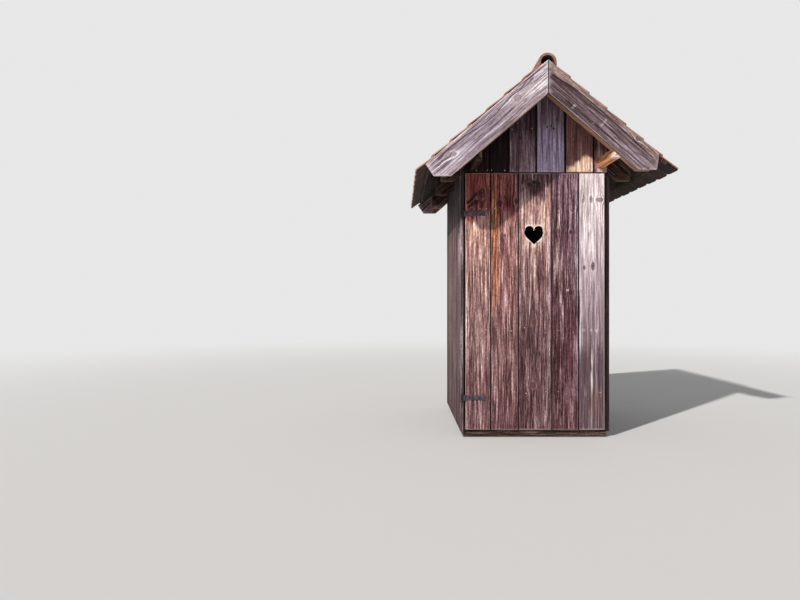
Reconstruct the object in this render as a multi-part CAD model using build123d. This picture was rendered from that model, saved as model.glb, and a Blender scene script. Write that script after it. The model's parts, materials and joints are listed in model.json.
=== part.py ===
from build123d import *
import math
import os

# Wooden outhouse: a post and rail frame with board walls, a ledged door with a heart cut in it,
# and an open gable roof of clay tiles. Millimetres, +Z up, +X to the right of the door,
# the door faces -Y, and the origin is on the ground under the ridge, midway between the gables.

os.makedirs("parts", exist_ok=True)

# How far a cut runs past the piece that it goes through
THROUGH = 1.0

# Door leaf, hung a little to the left of the ridge line. The fifth plank fills what is left.
DOOR_WIDTH = 1006.0
DOOR_OFFSET = -9.0
DOOR_PLANK_WIDTHS = [183.0, 200.0, 242.0, 193.0]
HEART_PLANK = 3
PLANK_JOINT = 2.5
DOOR_THICKNESS = 24.0
DOOR_BOTTOM = 60.0
DOOR_TOP = 1911.0
LEDGE_WIDTH = 100.0
LEDGE_THICKNESS = 24.0
LEDGE_INSET = 271.0
MIDDLE_LEDGE_RISE = 719.0
LEDGE_CLEARANCE = 18.0
HEART_WIDTH = 133.0
HEART_HEIGHT = 135.0
HEART_TIP_DROP = 515.0
HEART_OFFSET = -8.0

# Hinges
STRAP_LENGTH = 142.0
STRAP_HEIGHT = 34.0
STRAP_END_HEIGHT = 46.0
STRAP_END_LENGTH = 24.0
STRAP_THICKNESS = 4.0
LOWER_STRAP_RISE = 230.0
UPPER_STRAP_DROP = 289.5
BARREL_RADIUS = 7.0
PIN_RADIUS = 4.0
PIN_CLEARANCE = 0.05
BARREL_TO_LUG = 0.5
LUG_HEIGHT = 6.0
PLATE_THICKNESS = 4.0
PLATE_HEIGHT = 56.0

# Frame, a little wider than the door on both sides
HINGE_GAP = 15.0
LATCH_GAP = 23.0
BOARD_THICKNESS = 24.0
SIDE_BOARD_THICKNESS = 21.0
SIDE_BOARD_TARGET_WIDTH = 200.0
BOARD_JOINT = 4.0
BACK_BOARD_COUNT = 5
POST = 70.0
FRAME_DEPTH = 1200.0
DOOR_TO_POST = 6.0
DOOR_TO_GABLE = 10.0
SILL_WIDTH = 100.0
SILL_HEIGHT = 100.0
WALL_BOTTOM = 40.0
LEFT_EDGE_SETBACK = 5.0
FLOOR_THICKNESS = 24.0
FLOOR_BOARD_COUNT = 6
FLOOR_CLEARANCE = 3.0
RAIL_THICKNESS = 45.0
RAIL_HEIGHT = 70.0
MIDDLE_RAIL_CENTRE = 1000.0
LINTEL_HEIGHT = 80.0
DOOR_OVER_LINTEL = 41.0

# Gables: the front boards at the left and at the right, with one more that fills the middle
GABLE_LEFT_WIDTHS = [189.0, 138.0]
GABLE_RIGHT_WIDTHS = [101.0, 206.0, 209.0]
GABLE_FACE_SETBACK = 6.0

# Roof: the purlins lie on the lintels, the rafters on the purlins
PITCH = 40.5
PURLIN_WIDTH = 46.0
PURLIN_HEIGHT = 70.0
LEFT_PURLIN_INSET = 47.0
RIGHT_PURLIN_INSET = 25.0
LEFT_PURLIN_SUNK = 18.0
PURLIN_BEARING = 32.0
RAFTER_THICKNESS = 45.0
RAFTER_NOTCH = 40.53
RAFTER_OVERHANG = 163.0
RAFTER_TAIL_CUT = 80.0
BARGE_WIDTH = 170.0
BARGE_THICKNESS = 25.0
BARGE_PLUMB_GAP = 1.0
BARGE_FACE = 356.0
BACK_OVERHANG = 146.0
LEFT_TAIL_PAST_DECK = 16.0
LEFT_TAIL_CUT = [55.0, 97.5]
RIGHT_TAIL_PAST_DECK = -64.0
RIGHT_TAIL_CUT = [15.0, 104.4]
DECK_THICKNESS = 20.0
DECK_PAST_RAFTER = 110.0
DECK_BOARD_COUNT = 5
NOTCH_CLEARANCE = 1.0
TILE_THICKNESS = 12.0
TILE_PAST_DECK = 86.0
TILE_HEAD = 30.0
COURSE_COUNT = 7
RIDGE_RADIUS = 62.0
RIDGE_WALL = 20.0
RIDGE_RISE = 53.0
RIDGE_TILE_COUNT = 5
RIDGE_TILE_GAP = 2.0
RIDGE_BEDDING = 0.3

# Places that follow from the sizes above. Depths are measured from the door's front face.
door_left = DOOR_OFFSET - DOOR_WIDTH / 2
door_right = door_left + DOOR_WIDTH
post_face = DOOR_THICKNESS + DOOR_TO_POST
frame_back = post_face + FRAME_DEPTH
frame_left = door_left - HINGE_GAP
frame_right = door_right + LATCH_GAP
wall_left = frame_left - SIDE_BOARD_THICKNESS
wall_right = frame_right + SIDE_BOARD_THICKNESS
doorway_left = frame_left + POST
doorway_right = frame_right - POST
gable_bottom = DOOR_TOP + DOOR_TO_GABLE
lintel_bottom = DOOR_TOP - DOOR_OVER_LINTEL
lintel_top = lintel_bottom + LINTEL_HEIGHT
barge_front = -BARGE_FACE
fly_front = barge_front + BARGE_THICKNESS
barge_back = frame_back + BOARD_THICKNESS + BACK_OVERHANG
fly_back = barge_back - BARGE_THICKNESS
sine = math.sin(math.radians(PITCH))
cosine = math.cos(math.radians(PITCH))
slope = sine / cosine
plumb = 1 / cosine
left_purlin_outer = -frame_left - LEFT_PURLIN_INSET
right_purlin_outer = frame_right - RIGHT_PURLIN_INSET
left_purlin_bottom = lintel_top - LEFT_PURLIN_SUNK
under_apex = left_purlin_bottom + PURLIN_HEIGHT - RAFTER_NOTCH + slope * left_purlin_outer
deck_apex = under_apex + BARGE_WIDTH * plumb
rafter_apex = deck_apex - DECK_THICKNESS * plumb
rafter_tail = max(-frame_left, frame_right) + RAFTER_OVERHANG
deck_end = rafter_tail + DECK_PAST_RAFTER
tile_eave = deck_end + TILE_PAST_DECK
hinge_x = (door_left + frame_left) / 2
hinge_y = -STRAP_THICKNESS
origin_shift = (barge_front + barge_back) / 2


def roof_line(apex, x):
    """Height of a sloping line of the roof at a distance x from the ridge."""
    return apex - slope * abs(x)


def block(x0, x1, y0, y1, z0, z1):
    """A straight sawn piece between two corners."""
    return Pos((x0 + x1) / 2, (y0 + y1) / 2, (z0 + z1) / 2) * Box(x1 - x0, y1 - y0, z1 - z0)


def across(points, y0, y1):
    """A piece cut to an outline seen from the front, running from y0 back to y1."""
    face = make_face(Polyline(*[Vector(x, y0, z) for x, z in points], close=True))
    return extrude(face, amount=y1 - y0, dir=(0, 1, 0))


def mirrored(points, side):
    """The same outline on the left (side -1) or on the right (side 1) of the ridge."""
    return [(side * x, z) for x, z in points]


def save(name, *solids):
    """Writes one named piece, moved so that the origin is under the middle of the roof."""
    moved = [Pos(0, -origin_shift, 0) * solid for solid in solids]
    piece = moved[0] if len(moved) == 1 else Compound(children=moved)
    export_step(piece, os.path.join("parts", name + ".step"))


# Sills, laid as a rectangle on the ground
sill_front_y = post_face + SILL_WIDTH
sill_back_y = frame_back - SILL_WIDTH
save("sill_front", block(frame_left, frame_right, post_face, sill_front_y, 0, SILL_HEIGHT))
save("sill_back", block(frame_left, frame_right, sill_back_y, frame_back, 0, SILL_HEIGHT))
save("sill_left", block(frame_left, frame_left + SILL_WIDTH, sill_front_y, sill_back_y, 0, SILL_HEIGHT))
save("sill_right", block(frame_right - SILL_WIDTH, frame_right, sill_front_y, sill_back_y, 0, SILL_HEIGHT))

# Floor boards, across the side sills and between the posts
floor_left = doorway_left + FLOOR_CLEARANCE
floor_right = doorway_right - FLOOR_CLEARANCE
floor_top = SILL_HEIGHT + FLOOR_THICKNESS
floor_board = (FRAME_DEPTH - (FLOOR_BOARD_COUNT - 1) * BOARD_JOINT) / FLOOR_BOARD_COUNT
floor_boards = []
for index in range(FLOOR_BOARD_COUNT):
    y0 = post_face + index * (floor_board + BOARD_JOINT)
    floor_boards.append(block(floor_left, floor_right, y0, y0 + floor_board, SILL_HEIGHT, floor_top))
save("floor_boards", *floor_boards)

# Purlins, which run out through both gables to carry the outer rafters
fly_rear = fly_front + RAFTER_THICKNESS
purlin_front = fly_rear - PURLIN_BEARING
purlin_back = fly_back - RAFTER_THICKNESS + PURLIN_BEARING
purlins = {}
purlin_places = (
    ("left", -1, left_purlin_outer, left_purlin_bottom),
    ("right", 1, right_purlin_outer, lintel_top),
)
for hand, side, outer, bottom in purlin_places:
    x0, x1 = sorted((side * outer, side * (outer - PURLIN_WIDTH)))
    purlins[hand] = (x0, x1, bottom, bottom + PURLIN_HEIGHT)
    save("purlin_" + hand, block(x0, x1, purlin_front, purlin_back, bottom, bottom + PURLIN_HEIGHT))


def purlin_hole(hand, y0, y1, clearance):
    """The room that a purlin takes in the pieces that it passes through."""
    x0, x1, z0, z1 = purlins[hand]
    return block(x0 - clearance, x1 + clearance, y0, y1, z0 - clearance, z1 + clearance)


# Corner posts on the sills, under the purlins, with their tops bevelled to the rafters
tail_underside = roof_line(under_apex, rafter_tail)
rafter_underside = [
    (0, under_apex),
    (rafter_tail, tail_underside),
    (rafter_tail, deck_apex),
    (0, deck_apex),
]
for end, y0 in (("front", post_face), ("back", frame_back - POST)):
    for hand, side, x0 in (("left", -1, frame_left), ("right", 1, doorway_right)):
        post = block(x0, x0 + POST, y0, y0 + POST, SILL_HEIGHT, purlins[hand][2])
        save("post_%s_%s" % (end, hand), post - across(mirrored(rafter_underside, side), y0, y0 + POST))

# Head pieces between the posts, over the doorway and in the back wall
for name, y0 in (("lintel_front", post_face), ("header_back", frame_back - POST)):
    head = block(doorway_left, doorway_right, y0, y0 + POST, lintel_bottom, lintel_top)
    for hand in purlins:
        head -= purlin_hole(hand, y0, y0 + POST, 0)
    save(name, head)

# Rails that stiffen the walls between the posts, at half height and near the top
rail_front = post_face + POST
rail_back = frame_back - POST
rail_levels = []
for centre in (MIDDLE_RAIL_CENTRE, lintel_bottom):
    rail_levels.append((centre - RAIL_HEIGHT / 2, centre + RAIL_HEIGHT / 2))
for hand, x0 in (("left", frame_left), ("right", frame_right - RAIL_THICKNESS)):
    rails = [block(x0, x0 + RAIL_THICKNESS, rail_front, rail_back, z0, z1) for z0, z1 in rail_levels]
    save("rails_" + hand, *rails)
middle_z0, middle_z1 = rail_levels[0]
back_rail_y = frame_back - RAIL_THICKNESS
save("rail_back", block(doorway_left, doorway_right, back_rail_y, frame_back, middle_z0, middle_z1))

# Rafters: pairs that meet at the ridge, notched over the purlins, with level-cut tails
gable_to_gable = FRAME_DEPTH - RAFTER_THICKNESS
rafter_fronts = [
    fly_front,
    post_face,
    post_face + gable_to_gable / 2,
    frame_back - RAFTER_THICKNESS,
    fly_back - RAFTER_THICKNESS,
]
tail_bottom = tail_underside + RAFTER_TAIL_CUT
rafter_outline = [
    (0, rafter_apex),
    (rafter_tail, roof_line(rafter_apex, rafter_tail)),
    (rafter_tail, tail_bottom),
    (rafter_tail - RAFTER_TAIL_CUT / slope, tail_bottom),
    (0, under_apex),
]
for hand, side in (("left", -1), ("right", 1)):
    rafters = []
    for y0 in rafter_fronts:
        rafter = across(mirrored(rafter_outline, side), y0, y0 + RAFTER_THICKNESS)
        rafters.append(rafter - purlin_hole(hand, purlin_front, purlin_back, 0))
    save("rafters_" + hand, *rafters)

# Roof boards on the rafters, running from gable to gable
deck_length = deck_end * plumb
deck_lean = DECK_THICKNESS * sine
deck_drop = DECK_THICKNESS * cosine
deck_board = (deck_length - (DECK_BOARD_COUNT - 1) * BOARD_JOINT) / DECK_BOARD_COUNT
for hand, side in (("left", -1), ("right", 1)):
    boards = []
    for index in range(DECK_BOARD_COUNT):
        high = index * (deck_board + BOARD_JOINT) / plumb
        low = high + deck_board / plumb
        outline = [
            (high, roof_line(deck_apex, high)),
            (low, roof_line(deck_apex, low)),
            (low - deck_lean, roof_line(deck_apex, low) - deck_drop),
            (high - deck_lean, roof_line(deck_apex, high) - deck_drop),
        ]
        if index == 0:
            outline[3] = (high, rafter_apex)
        boards.append(across(mirrored(outline, side), fly_front, fly_back))
    save("deck_" + hand, *boards)

# Clay tiles: seven lapped courses on each slope, with the stepped edge that the laps give.
# They stop at the backs of the barge boards, where the roof boards stop too.
slope_head = TILE_HEAD * plumb
slope_eave = tile_eave * plumb
eave_trim = 2 * TILE_THICKNESS * slope
course = (slope_eave - slope_head) / COURSE_COUNT


def on_slope(distance, lift):
    """A point at a distance down the slope from the ridge and a lift square off the roof boards."""
    return (distance * cosine + lift * sine, deck_apex - distance * sine + lift * cosine)


for hand, side in (("left", -1), ("right", 1)):
    outline = [on_slope(slope_head, 0), on_slope(slope_head, TILE_THICKNESS)]
    for index in range(COURSE_COUNT):
        tail = slope_head + (index + 1) * course
        if index == COURSE_COUNT - 1:
            tail = slope_eave - eave_trim
        outline.append(on_slope(tail, 2 * TILE_THICKNESS))
        if index < COURSE_COUNT - 1:
            outline.append(on_slope(tail, TILE_THICKNESS))
    outline.append(on_slope(slope_eave - eave_trim, 0))
    save("tiles_" + hand, across(mirrored(outline, side), fly_front, fly_back))

# Half-round ridge tiles, bedded on the top courses
ridge_centre = deck_apex + RIDGE_RISE - RIDGE_RADIUS
ridge_span = fly_back - fly_front
ridge_length = (ridge_span - (RIDGE_TILE_COUNT - 1) * RIDGE_TILE_GAP) / RIDGE_TILE_COUNT


def half_round(radius, y0, length):
    """A bar with a round top and straight legs, standing on the ridge."""
    arch = Pos(0, y0 + length / 2, ridge_centre) * Rot(90, 0, 0) * Cylinder(radius, length)
    legs = block(-radius, radius, y0, y0 + length, ridge_centre - RIDGE_RADIUS, ridge_centre)
    upper = block(-radius, radius, y0, y0 + length, ridge_centre, ridge_centre + radius)
    return (arch & upper) + legs


first_head = on_slope(slope_head, TILE_THICKNESS)
first_tail = on_slope(slope_head + course, 2 * TILE_THICKNESS)
first_fall = (first_head[1] - first_tail[1]) / (first_tail[0] - first_head[0])
bed_top = first_head[1] + first_fall * first_head[0] + RIDGE_BEDDING * plumb
reach = 2 * RIDGE_RADIUS
bed_low = bed_top - first_fall * reach
bed = [(-reach, bed_low), (0, bed_top), (reach, bed_low), (reach, 0), (-reach, 0)]
ridge_tiles = []
for index in range(RIDGE_TILE_COUNT):
    y0 = fly_front + index * (ridge_length + RIDGE_TILE_GAP)
    shell = half_round(RIDGE_RADIUS, y0, ridge_length)
    hollow = half_round(RIDGE_RADIUS - RIDGE_WALL, y0 - THROUGH, ridge_length + 2 * THROUGH)
    ridge_tiles.append(shell - hollow - across(bed, y0 - THROUGH, y0 + ridge_length + THROUGH))
save("ridge_tiles", *ridge_tiles)

# Barge boards, butted plumb at the ridge and cut off at the eaves
tails = {
    "left": (-1, deck_end + LEFT_TAIL_PAST_DECK, LEFT_TAIL_CUT),
    "right": (1, deck_end + RIGHT_TAIL_PAST_DECK, RIGHT_TAIL_CUT),
}
for end, y0 in (("front", barge_front), ("back", fly_back)):
    for hand in ("left", "right"):
        side, top_x, (set_back, level_cut) = tails[hand]
        bottom_x = top_x - set_back
        bottom_z = roof_line(under_apex, bottom_x) + level_cut
        outline = [
            (BARGE_PLUMB_GAP, roof_line(deck_apex, BARGE_PLUMB_GAP)),
            (top_x, roof_line(deck_apex, top_x)),
            (bottom_x, bottom_z),
            (bottom_x - level_cut / slope, bottom_z),
            (BARGE_PLUMB_GAP, roof_line(under_apex, BARGE_PLUMB_GAP)),
        ]
        save("barge_%s_%s" % (end, hand), across(mirrored(outline, side), y0, y0 + BARGE_THICKNESS))

# Side walls: upright boards nailed to the sills and rails, notched round the rafters
side_walls = (
    ("left", wall_left, frame_left, LEFT_EDGE_SETBACK),
    ("right", frame_right, wall_right, post_face),
)
for hand, x0, x1, edge in side_walls:
    length = frame_back - edge
    count = round(length / SIDE_BOARD_TARGET_WIDTH)
    width = (length - (count - 1) * BOARD_JOINT) / count
    outer = max(abs(x0), abs(x1))
    top = roof_line(rafter_apex, outer) - NOTCH_CLEARANCE
    notch_bottom = roof_line(under_apex, outer) - NOTCH_CLEARANCE
    boards = []
    for index in range(count):
        y0 = edge + index * (width + BOARD_JOINT)
        board = block(x0, x1, y0, y0 + width, WALL_BOTTOM, top)
        for rafter_front in rafter_fronts:
            notch_y0 = rafter_front - NOTCH_CLEARANCE
            notch_y1 = rafter_front + RAFTER_THICKNESS + NOTCH_CLEARANCE
            board -= block(x0 - THROUGH, x1 + THROUGH, notch_y0, notch_y1, notch_bottom, top + THROUGH)
        boards.append(board)
    save("wall_" + hand, *boards)


def gable_board(x0, x1, y0, y1, z0):
    """A board cut to the slope under the roof boards and notched round the purlins."""
    top = rafter_apex - NOTCH_CLEARANCE
    outline = [(x0, z0), (x0, roof_line(top, x0))]
    if x0 < 0 < x1:
        outline.append((0, top))
    outline += [(x1, roof_line(top, x1)), (x1, z0)]
    board = across(outline, y0, y1)
    for hand in purlins:
        board -= purlin_hole(hand, y0 - THROUGH, y1 + THROUGH, NOTCH_CLEARANCE)
    return board


# Front gable, boards over the door
edges = [frame_left]
for width in GABLE_LEFT_WIDTHS:
    edges.append(edges[-1] + width)
right_edges = [frame_right]
for width in GABLE_RIGHT_WIDTHS:
    right_edges.append(right_edges[-1] - width)
edges += reversed(right_edges)
boards = []
for x0, x1 in zip(edges, edges[1:]):
    left = x0 + BOARD_JOINT / 2
    right = x1 - BOARD_JOINT / 2
    boards.append(gable_board(left, right, GABLE_FACE_SETBACK, post_face, gable_bottom))
save("gable_front", *boards)

# Back wall and back gable
back_face = frame_back + BOARD_THICKNESS
back_board = (wall_right - wall_left - (BACK_BOARD_COUNT - 1) * BOARD_JOINT) / BACK_BOARD_COUNT
lower = []
upper = []
for index in range(BACK_BOARD_COUNT):
    x0 = wall_left + index * (back_board + BOARD_JOINT)
    x1 = x0 + back_board
    lower.append(block(x0, x1, frame_back, back_face, WALL_BOTTOM, gable_bottom - BOARD_JOINT))
    upper.append(gable_board(x0, x1, frame_back, back_face, gable_bottom))
save("wall_back", *lower)
save("gable_back", *upper)

# Door planks, the widest with the heart
heart_lobe = HEART_WIDTH / 4
heart_tip = DOOR_TOP - HEART_TIP_DROP
heart_cleft = heart_tip + HEART_HEIGHT - heart_lobe
FLANK_OUT_SHARE = 1.42
FLANK_UP_SHARE = 0.42


def heart(x, y0, y1):
    """A heart-shaped plug: two half-round lobes over a point, with bowed flanks."""
    tip = (0, y0, heart_tip)
    cleft = (0, y0, heart_cleft)
    crown = (heart_lobe, y0, heart_cleft + heart_lobe)
    shoulder = (2 * heart_lobe, y0, heart_cleft)
    flank = (FLANK_OUT_SHARE * heart_lobe, y0, heart_tip + FLANK_UP_SHARE * (heart_cleft - heart_tip))
    right = [Line(tip, cleft), ThreePointArc(cleft, crown, shoulder), ThreePointArc(shoulder, flank, tip)]
    half = extrude(make_face(right), amount=y1 - y0, dir=(0, 1, 0))
    return Pos(x, 0, 0) * (half + mirror(half, about=Plane.YZ))


edge = door_left
plank_widths = DOOR_PLANK_WIDTHS + [DOOR_WIDTH - sum(DOOR_PLANK_WIDTHS)]
for number, width in enumerate(plank_widths, start=1):
    plank = block(edge, edge + width - PLANK_JOINT, 0, DOOR_THICKNESS, DOOR_BOTTOM, DOOR_TOP)
    if number == HEART_PLANK:
        heart_x = edge + width / 2 + HEART_OFFSET
        plank -= heart(heart_x, -THROUGH, DOOR_THICKNESS + THROUGH)
    save("door_plank_%d" % number, plank)
    edge += width

# Ledges across the back of the door, clear of the posts
ledge_left = doorway_left + LEDGE_CLEARANCE
ledge_right = doorway_right - LEDGE_CLEARANCE
ledge_back = DOOR_THICKNESS + LEDGE_THICKNESS
ledge_levels = (
    ("bottom", DOOR_BOTTOM + LEDGE_INSET),
    ("middle", DOOR_BOTTOM + MIDDLE_LEDGE_RISE),
    ("top", DOOR_TOP - LEDGE_INSET),
)
for place, centre in ledge_levels:
    z0 = centre - LEDGE_WIDTH / 2
    z1 = centre + LEDGE_WIDTH / 2
    save("ledge_" + place, block(ledge_left, ledge_right, DOOR_THICKNESS, ledge_back, z0, z1))

# Hinges: a strap with a rolled barrel and a flared end on the door, and a pin held by two lugs
# on the wall's edge
plate_y1 = LEFT_EDGE_SETBACK
plate_y0 = plate_y1 - PLATE_THICKNESS
arm_x0 = wall_left + PLATE_THICKNESS
arm_y0 = hinge_y - BARREL_RADIUS
strap_end = door_left + STRAP_LENGTH
strap_neck = strap_end - STRAP_END_LENGTH
for place, centre in (("lower", DOOR_BOTTOM + LOWER_STRAP_RISE), ("upper", DOOR_TOP - UPPER_STRAP_DROP)):
    z0 = centre - STRAP_HEIGHT / 2
    z1 = centre + STRAP_HEIGHT / 2
    outline = [
        (hinge_x, z0),
        (strap_neck, z0),
        (strap_end, centre - STRAP_END_HEIGHT / 2),
        (strap_end, centre + STRAP_END_HEIGHT / 2),
        (strap_neck, z1),
        (hinge_x, z1),
    ]
    strap = across(outline, -STRAP_THICKNESS, 0)
    barrel = Pos(hinge_x, hinge_y, centre) * Cylinder(BARREL_RADIUS, STRAP_HEIGHT)
    bore = Pos(hinge_x, hinge_y, centre) * Cylinder(PIN_RADIUS + PIN_CLEARANCE, STRAP_HEIGHT + 2 * THROUGH)
    save("strap_" + place, strap + barrel - bore)

    plate_z0 = centre - PLATE_HEIGHT / 2
    bracket = block(wall_left, frame_left, plate_y0, plate_y1, plate_z0, plate_z0 + PLATE_HEIGHT)
    for z in (z0 - BARREL_TO_LUG - LUG_HEIGHT, z1 + BARREL_TO_LUG):
        eye = Pos(hinge_x, hinge_y, z + LUG_HEIGHT / 2) * Cylinder(BARREL_RADIUS, LUG_HEIGHT)
        arm = block(arm_x0, hinge_x, arm_y0, plate_y0, z, z + LUG_HEIGHT)
        bracket = bracket + eye + arm
    pin_length = STRAP_HEIGHT + 2 * (BARREL_TO_LUG + LUG_HEIGHT)
    bracket += Pos(hinge_x, hinge_y, centre) * Cylinder(PIN_RADIUS, pin_length)
    save("pintle_" + place, bracket)

print("Hinge axis in x and y:", hinge_x, hinge_y - origin_shift)
print("Width, depth and height:", 2 * tile_eave, barge_back - barge_front, deck_apex + RIDGE_RISE)
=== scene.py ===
# %% [markdown]
# # A weathered plank outhouse
#
# The hut was drawn first as exact solids: a post and rail frame, board walls, a ledged door and a
# steep tiled roof. Here those solids get the look of old timber, fired clay and forged steel. The
# solids are loaded before anything else, so that every piece can be placed by them.

# %% Load the measured solids
import json
import math
import random

import bmesh
import bpy
from mathutils import Matrix, Vector, noise


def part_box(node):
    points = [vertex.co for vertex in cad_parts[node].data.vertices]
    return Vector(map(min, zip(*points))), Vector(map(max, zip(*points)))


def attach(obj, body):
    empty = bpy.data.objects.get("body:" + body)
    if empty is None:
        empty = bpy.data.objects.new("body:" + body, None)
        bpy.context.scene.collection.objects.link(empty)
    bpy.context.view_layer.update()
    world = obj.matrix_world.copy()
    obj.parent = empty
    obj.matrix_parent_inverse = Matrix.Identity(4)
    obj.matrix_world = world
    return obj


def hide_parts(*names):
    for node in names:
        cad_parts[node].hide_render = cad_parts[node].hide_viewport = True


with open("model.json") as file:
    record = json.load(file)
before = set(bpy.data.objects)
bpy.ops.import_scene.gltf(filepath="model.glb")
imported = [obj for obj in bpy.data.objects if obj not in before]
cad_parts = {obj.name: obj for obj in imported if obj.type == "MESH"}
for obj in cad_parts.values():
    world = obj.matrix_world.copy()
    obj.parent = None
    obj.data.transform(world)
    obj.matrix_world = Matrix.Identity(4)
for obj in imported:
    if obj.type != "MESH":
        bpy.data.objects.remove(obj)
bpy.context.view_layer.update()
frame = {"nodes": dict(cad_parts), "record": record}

record = frame["record"]
body_of_node = {node: body for body, nodes in record["behaviour"]["bodies"].items() for node in nodes}

# %% [markdown]
# ## The viewpoint
#
# The hut is seen by someone who stands a little to the left of it, with level eyes about a metre up.
# A level camera keeps every upright edge parallel. The lens is wide, so the roof shows its underside.

# %% Camera
CAMERA_PLACE = (-0.985, -4.862, 0.996)
CAMERA_LENS = 27.05
SENSOR_WIDTH = 36.0

scene = bpy.context.scene
scene.view_settings.view_transform = "Standard"
camera_data = bpy.data.cameras.new("level_camera")
camera_data.lens = CAMERA_LENS
camera_data.sensor_width = SENSOR_WIDTH
camera = bpy.data.objects.new("level_camera", camera_data)
camera.location = CAMERA_PLACE
camera.rotation_euler = (math.radians(90), 0, 0)
scene.collection.objects.link(camera)
scene.camera = camera
print("Camera at", CAMERA_PLACE, "lens", CAMERA_LENS, "mm")


# %% [markdown]
# ## Sums made of nodes
#
# Old timber is many thin layers of colour, and each layer is a sum of a few patterns. Such a sum could be
# joined up node by node, but it would be hard to read. So a pattern is kept as a Value that can be
# added and multiplied like a plain number, and every sign makes the Math node that it stands for.
# Colours are written as eight-bit numbers and turned into the linear ones that the shader wants.

# %% Colours and values
def paint(red, green, blue):
    """A colour from eight-bit numbers, as linear red, green, blue and alpha."""
    parts = [channel / 255 for channel in (red, green, blue)]
    linear = [part / 12.92 if part <= 0.04045 else ((part + 0.055) / 1.055) ** 2.4 for part in parts]
    return (*linear, 1.0)


class Value:
    """One output of a node: a number, vector or colour that changes over the surface."""

    def __init__(self, finish, socket):
        self.finish = finish
        self.socket = socket

    def __add__(self, other):
        return self.finish.math("ADD", self, other)

    def __sub__(self, other):
        return self.finish.math("SUBTRACT", self, other)

    def __rsub__(self, other):
        return self.finish.math("SUBTRACT", other, self)

    def __mul__(self, other):
        return self.finish.math("MULTIPLY", self, other)

    def __truediv__(self, other):
        return self.finish.math("DIVIDE", self, other)

    def __abs__(self):
        return self.finish.math("ABSOLUTE", self)

    def between(self, low, high, start=0.0, end=1.0):
        """A smooth step: start below low, end above high."""
        inputs = {"Value": self, "From Min": low, "From Max": high, "To Min": start, "To Max": end}
        return self.finish.node("MapRange", inputs, interpolation_type="SMOOTHSTEP")

    def beside(self, output):
        """Another output of the same node."""
        return Value(self.finish, self.socket.node.outputs[output])


print("Mid grey in linear values:", [round(part, 3) for part in paint(128, 128, 128)])


# %% A finish under construction
class Finish:
    """The nodes of one material or sky, with short calls for what the finishes here share."""

    def __init__(self, owner):
        owner.use_nodes = True
        self.owner = owner
        self.nodes = owner.node_tree.nodes
        self.shader = self.nodes.get("Principled BSDF")
        self.colour = None

    def feed(self, socket, value):
        if isinstance(value, Value):
            self.owner.node_tree.links.new(value.socket, socket)
        else:
            socket.default_value = value

    def node(self, kind, inputs, output=0, **settings):
        """A new node with its settings and inputs, as the value of one of its outputs."""
        made = self.nodes.new("ShaderNode" + kind)
        for key, value in settings.items():
            setattr(made, key, value)
        for key, value in inputs.items():
            self.feed(made.inputs[key], value)
        return Value(self, made.outputs[output])

    def math(self, operation, first, second=0.0):
        return self.node("Math", {0: first, 1: second}, operation=operation)

    def vector(self, operation, first, second=(0.0, 0.0, 0.0)):
        output = "Value" if operation == "LENGTH" else "Vector"
        return self.node("VectorMath", {0: first, 1: second}, output, operation=operation)

    def split(self, vector):
        """The three parts of a vector."""
        first = self.node("SeparateXYZ", {0: vector})
        return first, first.beside(1), first.beside(2)

    def noise(self, place, fine, along=None, octaves=2.0, seed=0.0, roughness=0.55):
        """Clouds from 0 to 1, with as many waves a metre as fine says, and another number along the grain."""
        scaled = self.vector("MULTIPLY", place, (fine, fine, along or fine))
        inputs = {"Vector": scaled, "W": seed, "Scale": 1.0, "Detail": octaves, "Roughness": roughness}
        return self.node("TexNoise", inputs, noise_dimensions="4D")

    def attribute(self, name, output="Fac"):
        return self.node("Attribute", {}, output, attribute_name=name)

    def mix(self, amount, first, second, blend="MIX"):
        inputs = {0: amount, 6: first, 7: second}
        return self.node("Mix", inputs, 2, data_type="RGBA", blend_type=blend, clamp_result=True)

    def lay(self, cover, tint):
        """Lays an eight-bit colour over the colour so far, all of it where the cover is 1."""
        self.colour = self.mix(cover, self.colour, paint(*tint))

    def close(self, roughness, height, depth, strength):
        """Joins colour, roughness and relief to the shader, and gives the material."""
        bump = self.node("Bump", {"Height": height, "Distance": depth, "Strength": strength})
        for name, value in (("Base Color", self.colour), ("Roughness", roughness), ("Normal", bump)):
            self.feed(self.shader.inputs[name], value)
        return self.owner


print("Materials so far:", len(bpy.data.materials))


# %% [markdown]
# ## Weathered timber
#
# Rain and sun take the soft summer wood out of a board, bleach what is left to silver and leave the
# hard winter wood as fine dark lines. Knots push those lines aside, and drying opens long checks. A
# picture of wood could be laid over the boards, but it would repeat itself and end at every corner.
# Here the patterns are worked out in the board's own directions: across it, through it and along it.
# So they follow the board wherever it points, and the end of the board shows its rings.
#
# A knot or a mark is an oval or a straight band at a place on the board's face. A check is a wavy line
# that runs the length of the board, and the wood above it can have another colour.

# %% Places and patterns on a board
SEED_STEP = 40.0
CHECK_SPAN = 0.4
# Waves a metre across and along the grain, octaves, step of the seed and roughness.
PATTERNS = {
    "cloud": (7.0, 2.2, 3.0, 0.0, 0.55), "torn": (6.0, 2.0, 1.0, 5.0, 0.55),
    "wobble": (9.0, 1.6, 2.0, 3.0, 0.55), "ripple": (28.0, 9.0, 2.0, 11.0, 0.55),
    "ragged": (55.0, 30.0, 3.0, 0.0, 0.55), "broad": (30.0, 0.9, 3.0, 0.0, 0.6),
    "line": (34.0, 0.8, 2.0, 9.0, 0.55), "strand": (54.0, 1.8, 2.0, 1.0, 0.55),
    "middle": (96.0, 2.7, 3.0, 0.0, 0.6), "pits": (112.0, 62.0, 2.0, 6.0, 0.55),
    "wires": (146.0, 6.5, 2.0, 2.0, 0.55), "flecks": (190.0, 15.0, 1.0, 7.0, 0.55),
    "fine": (420.0, 20.0, 2.0, 0.0, 0.6),
}


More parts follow.
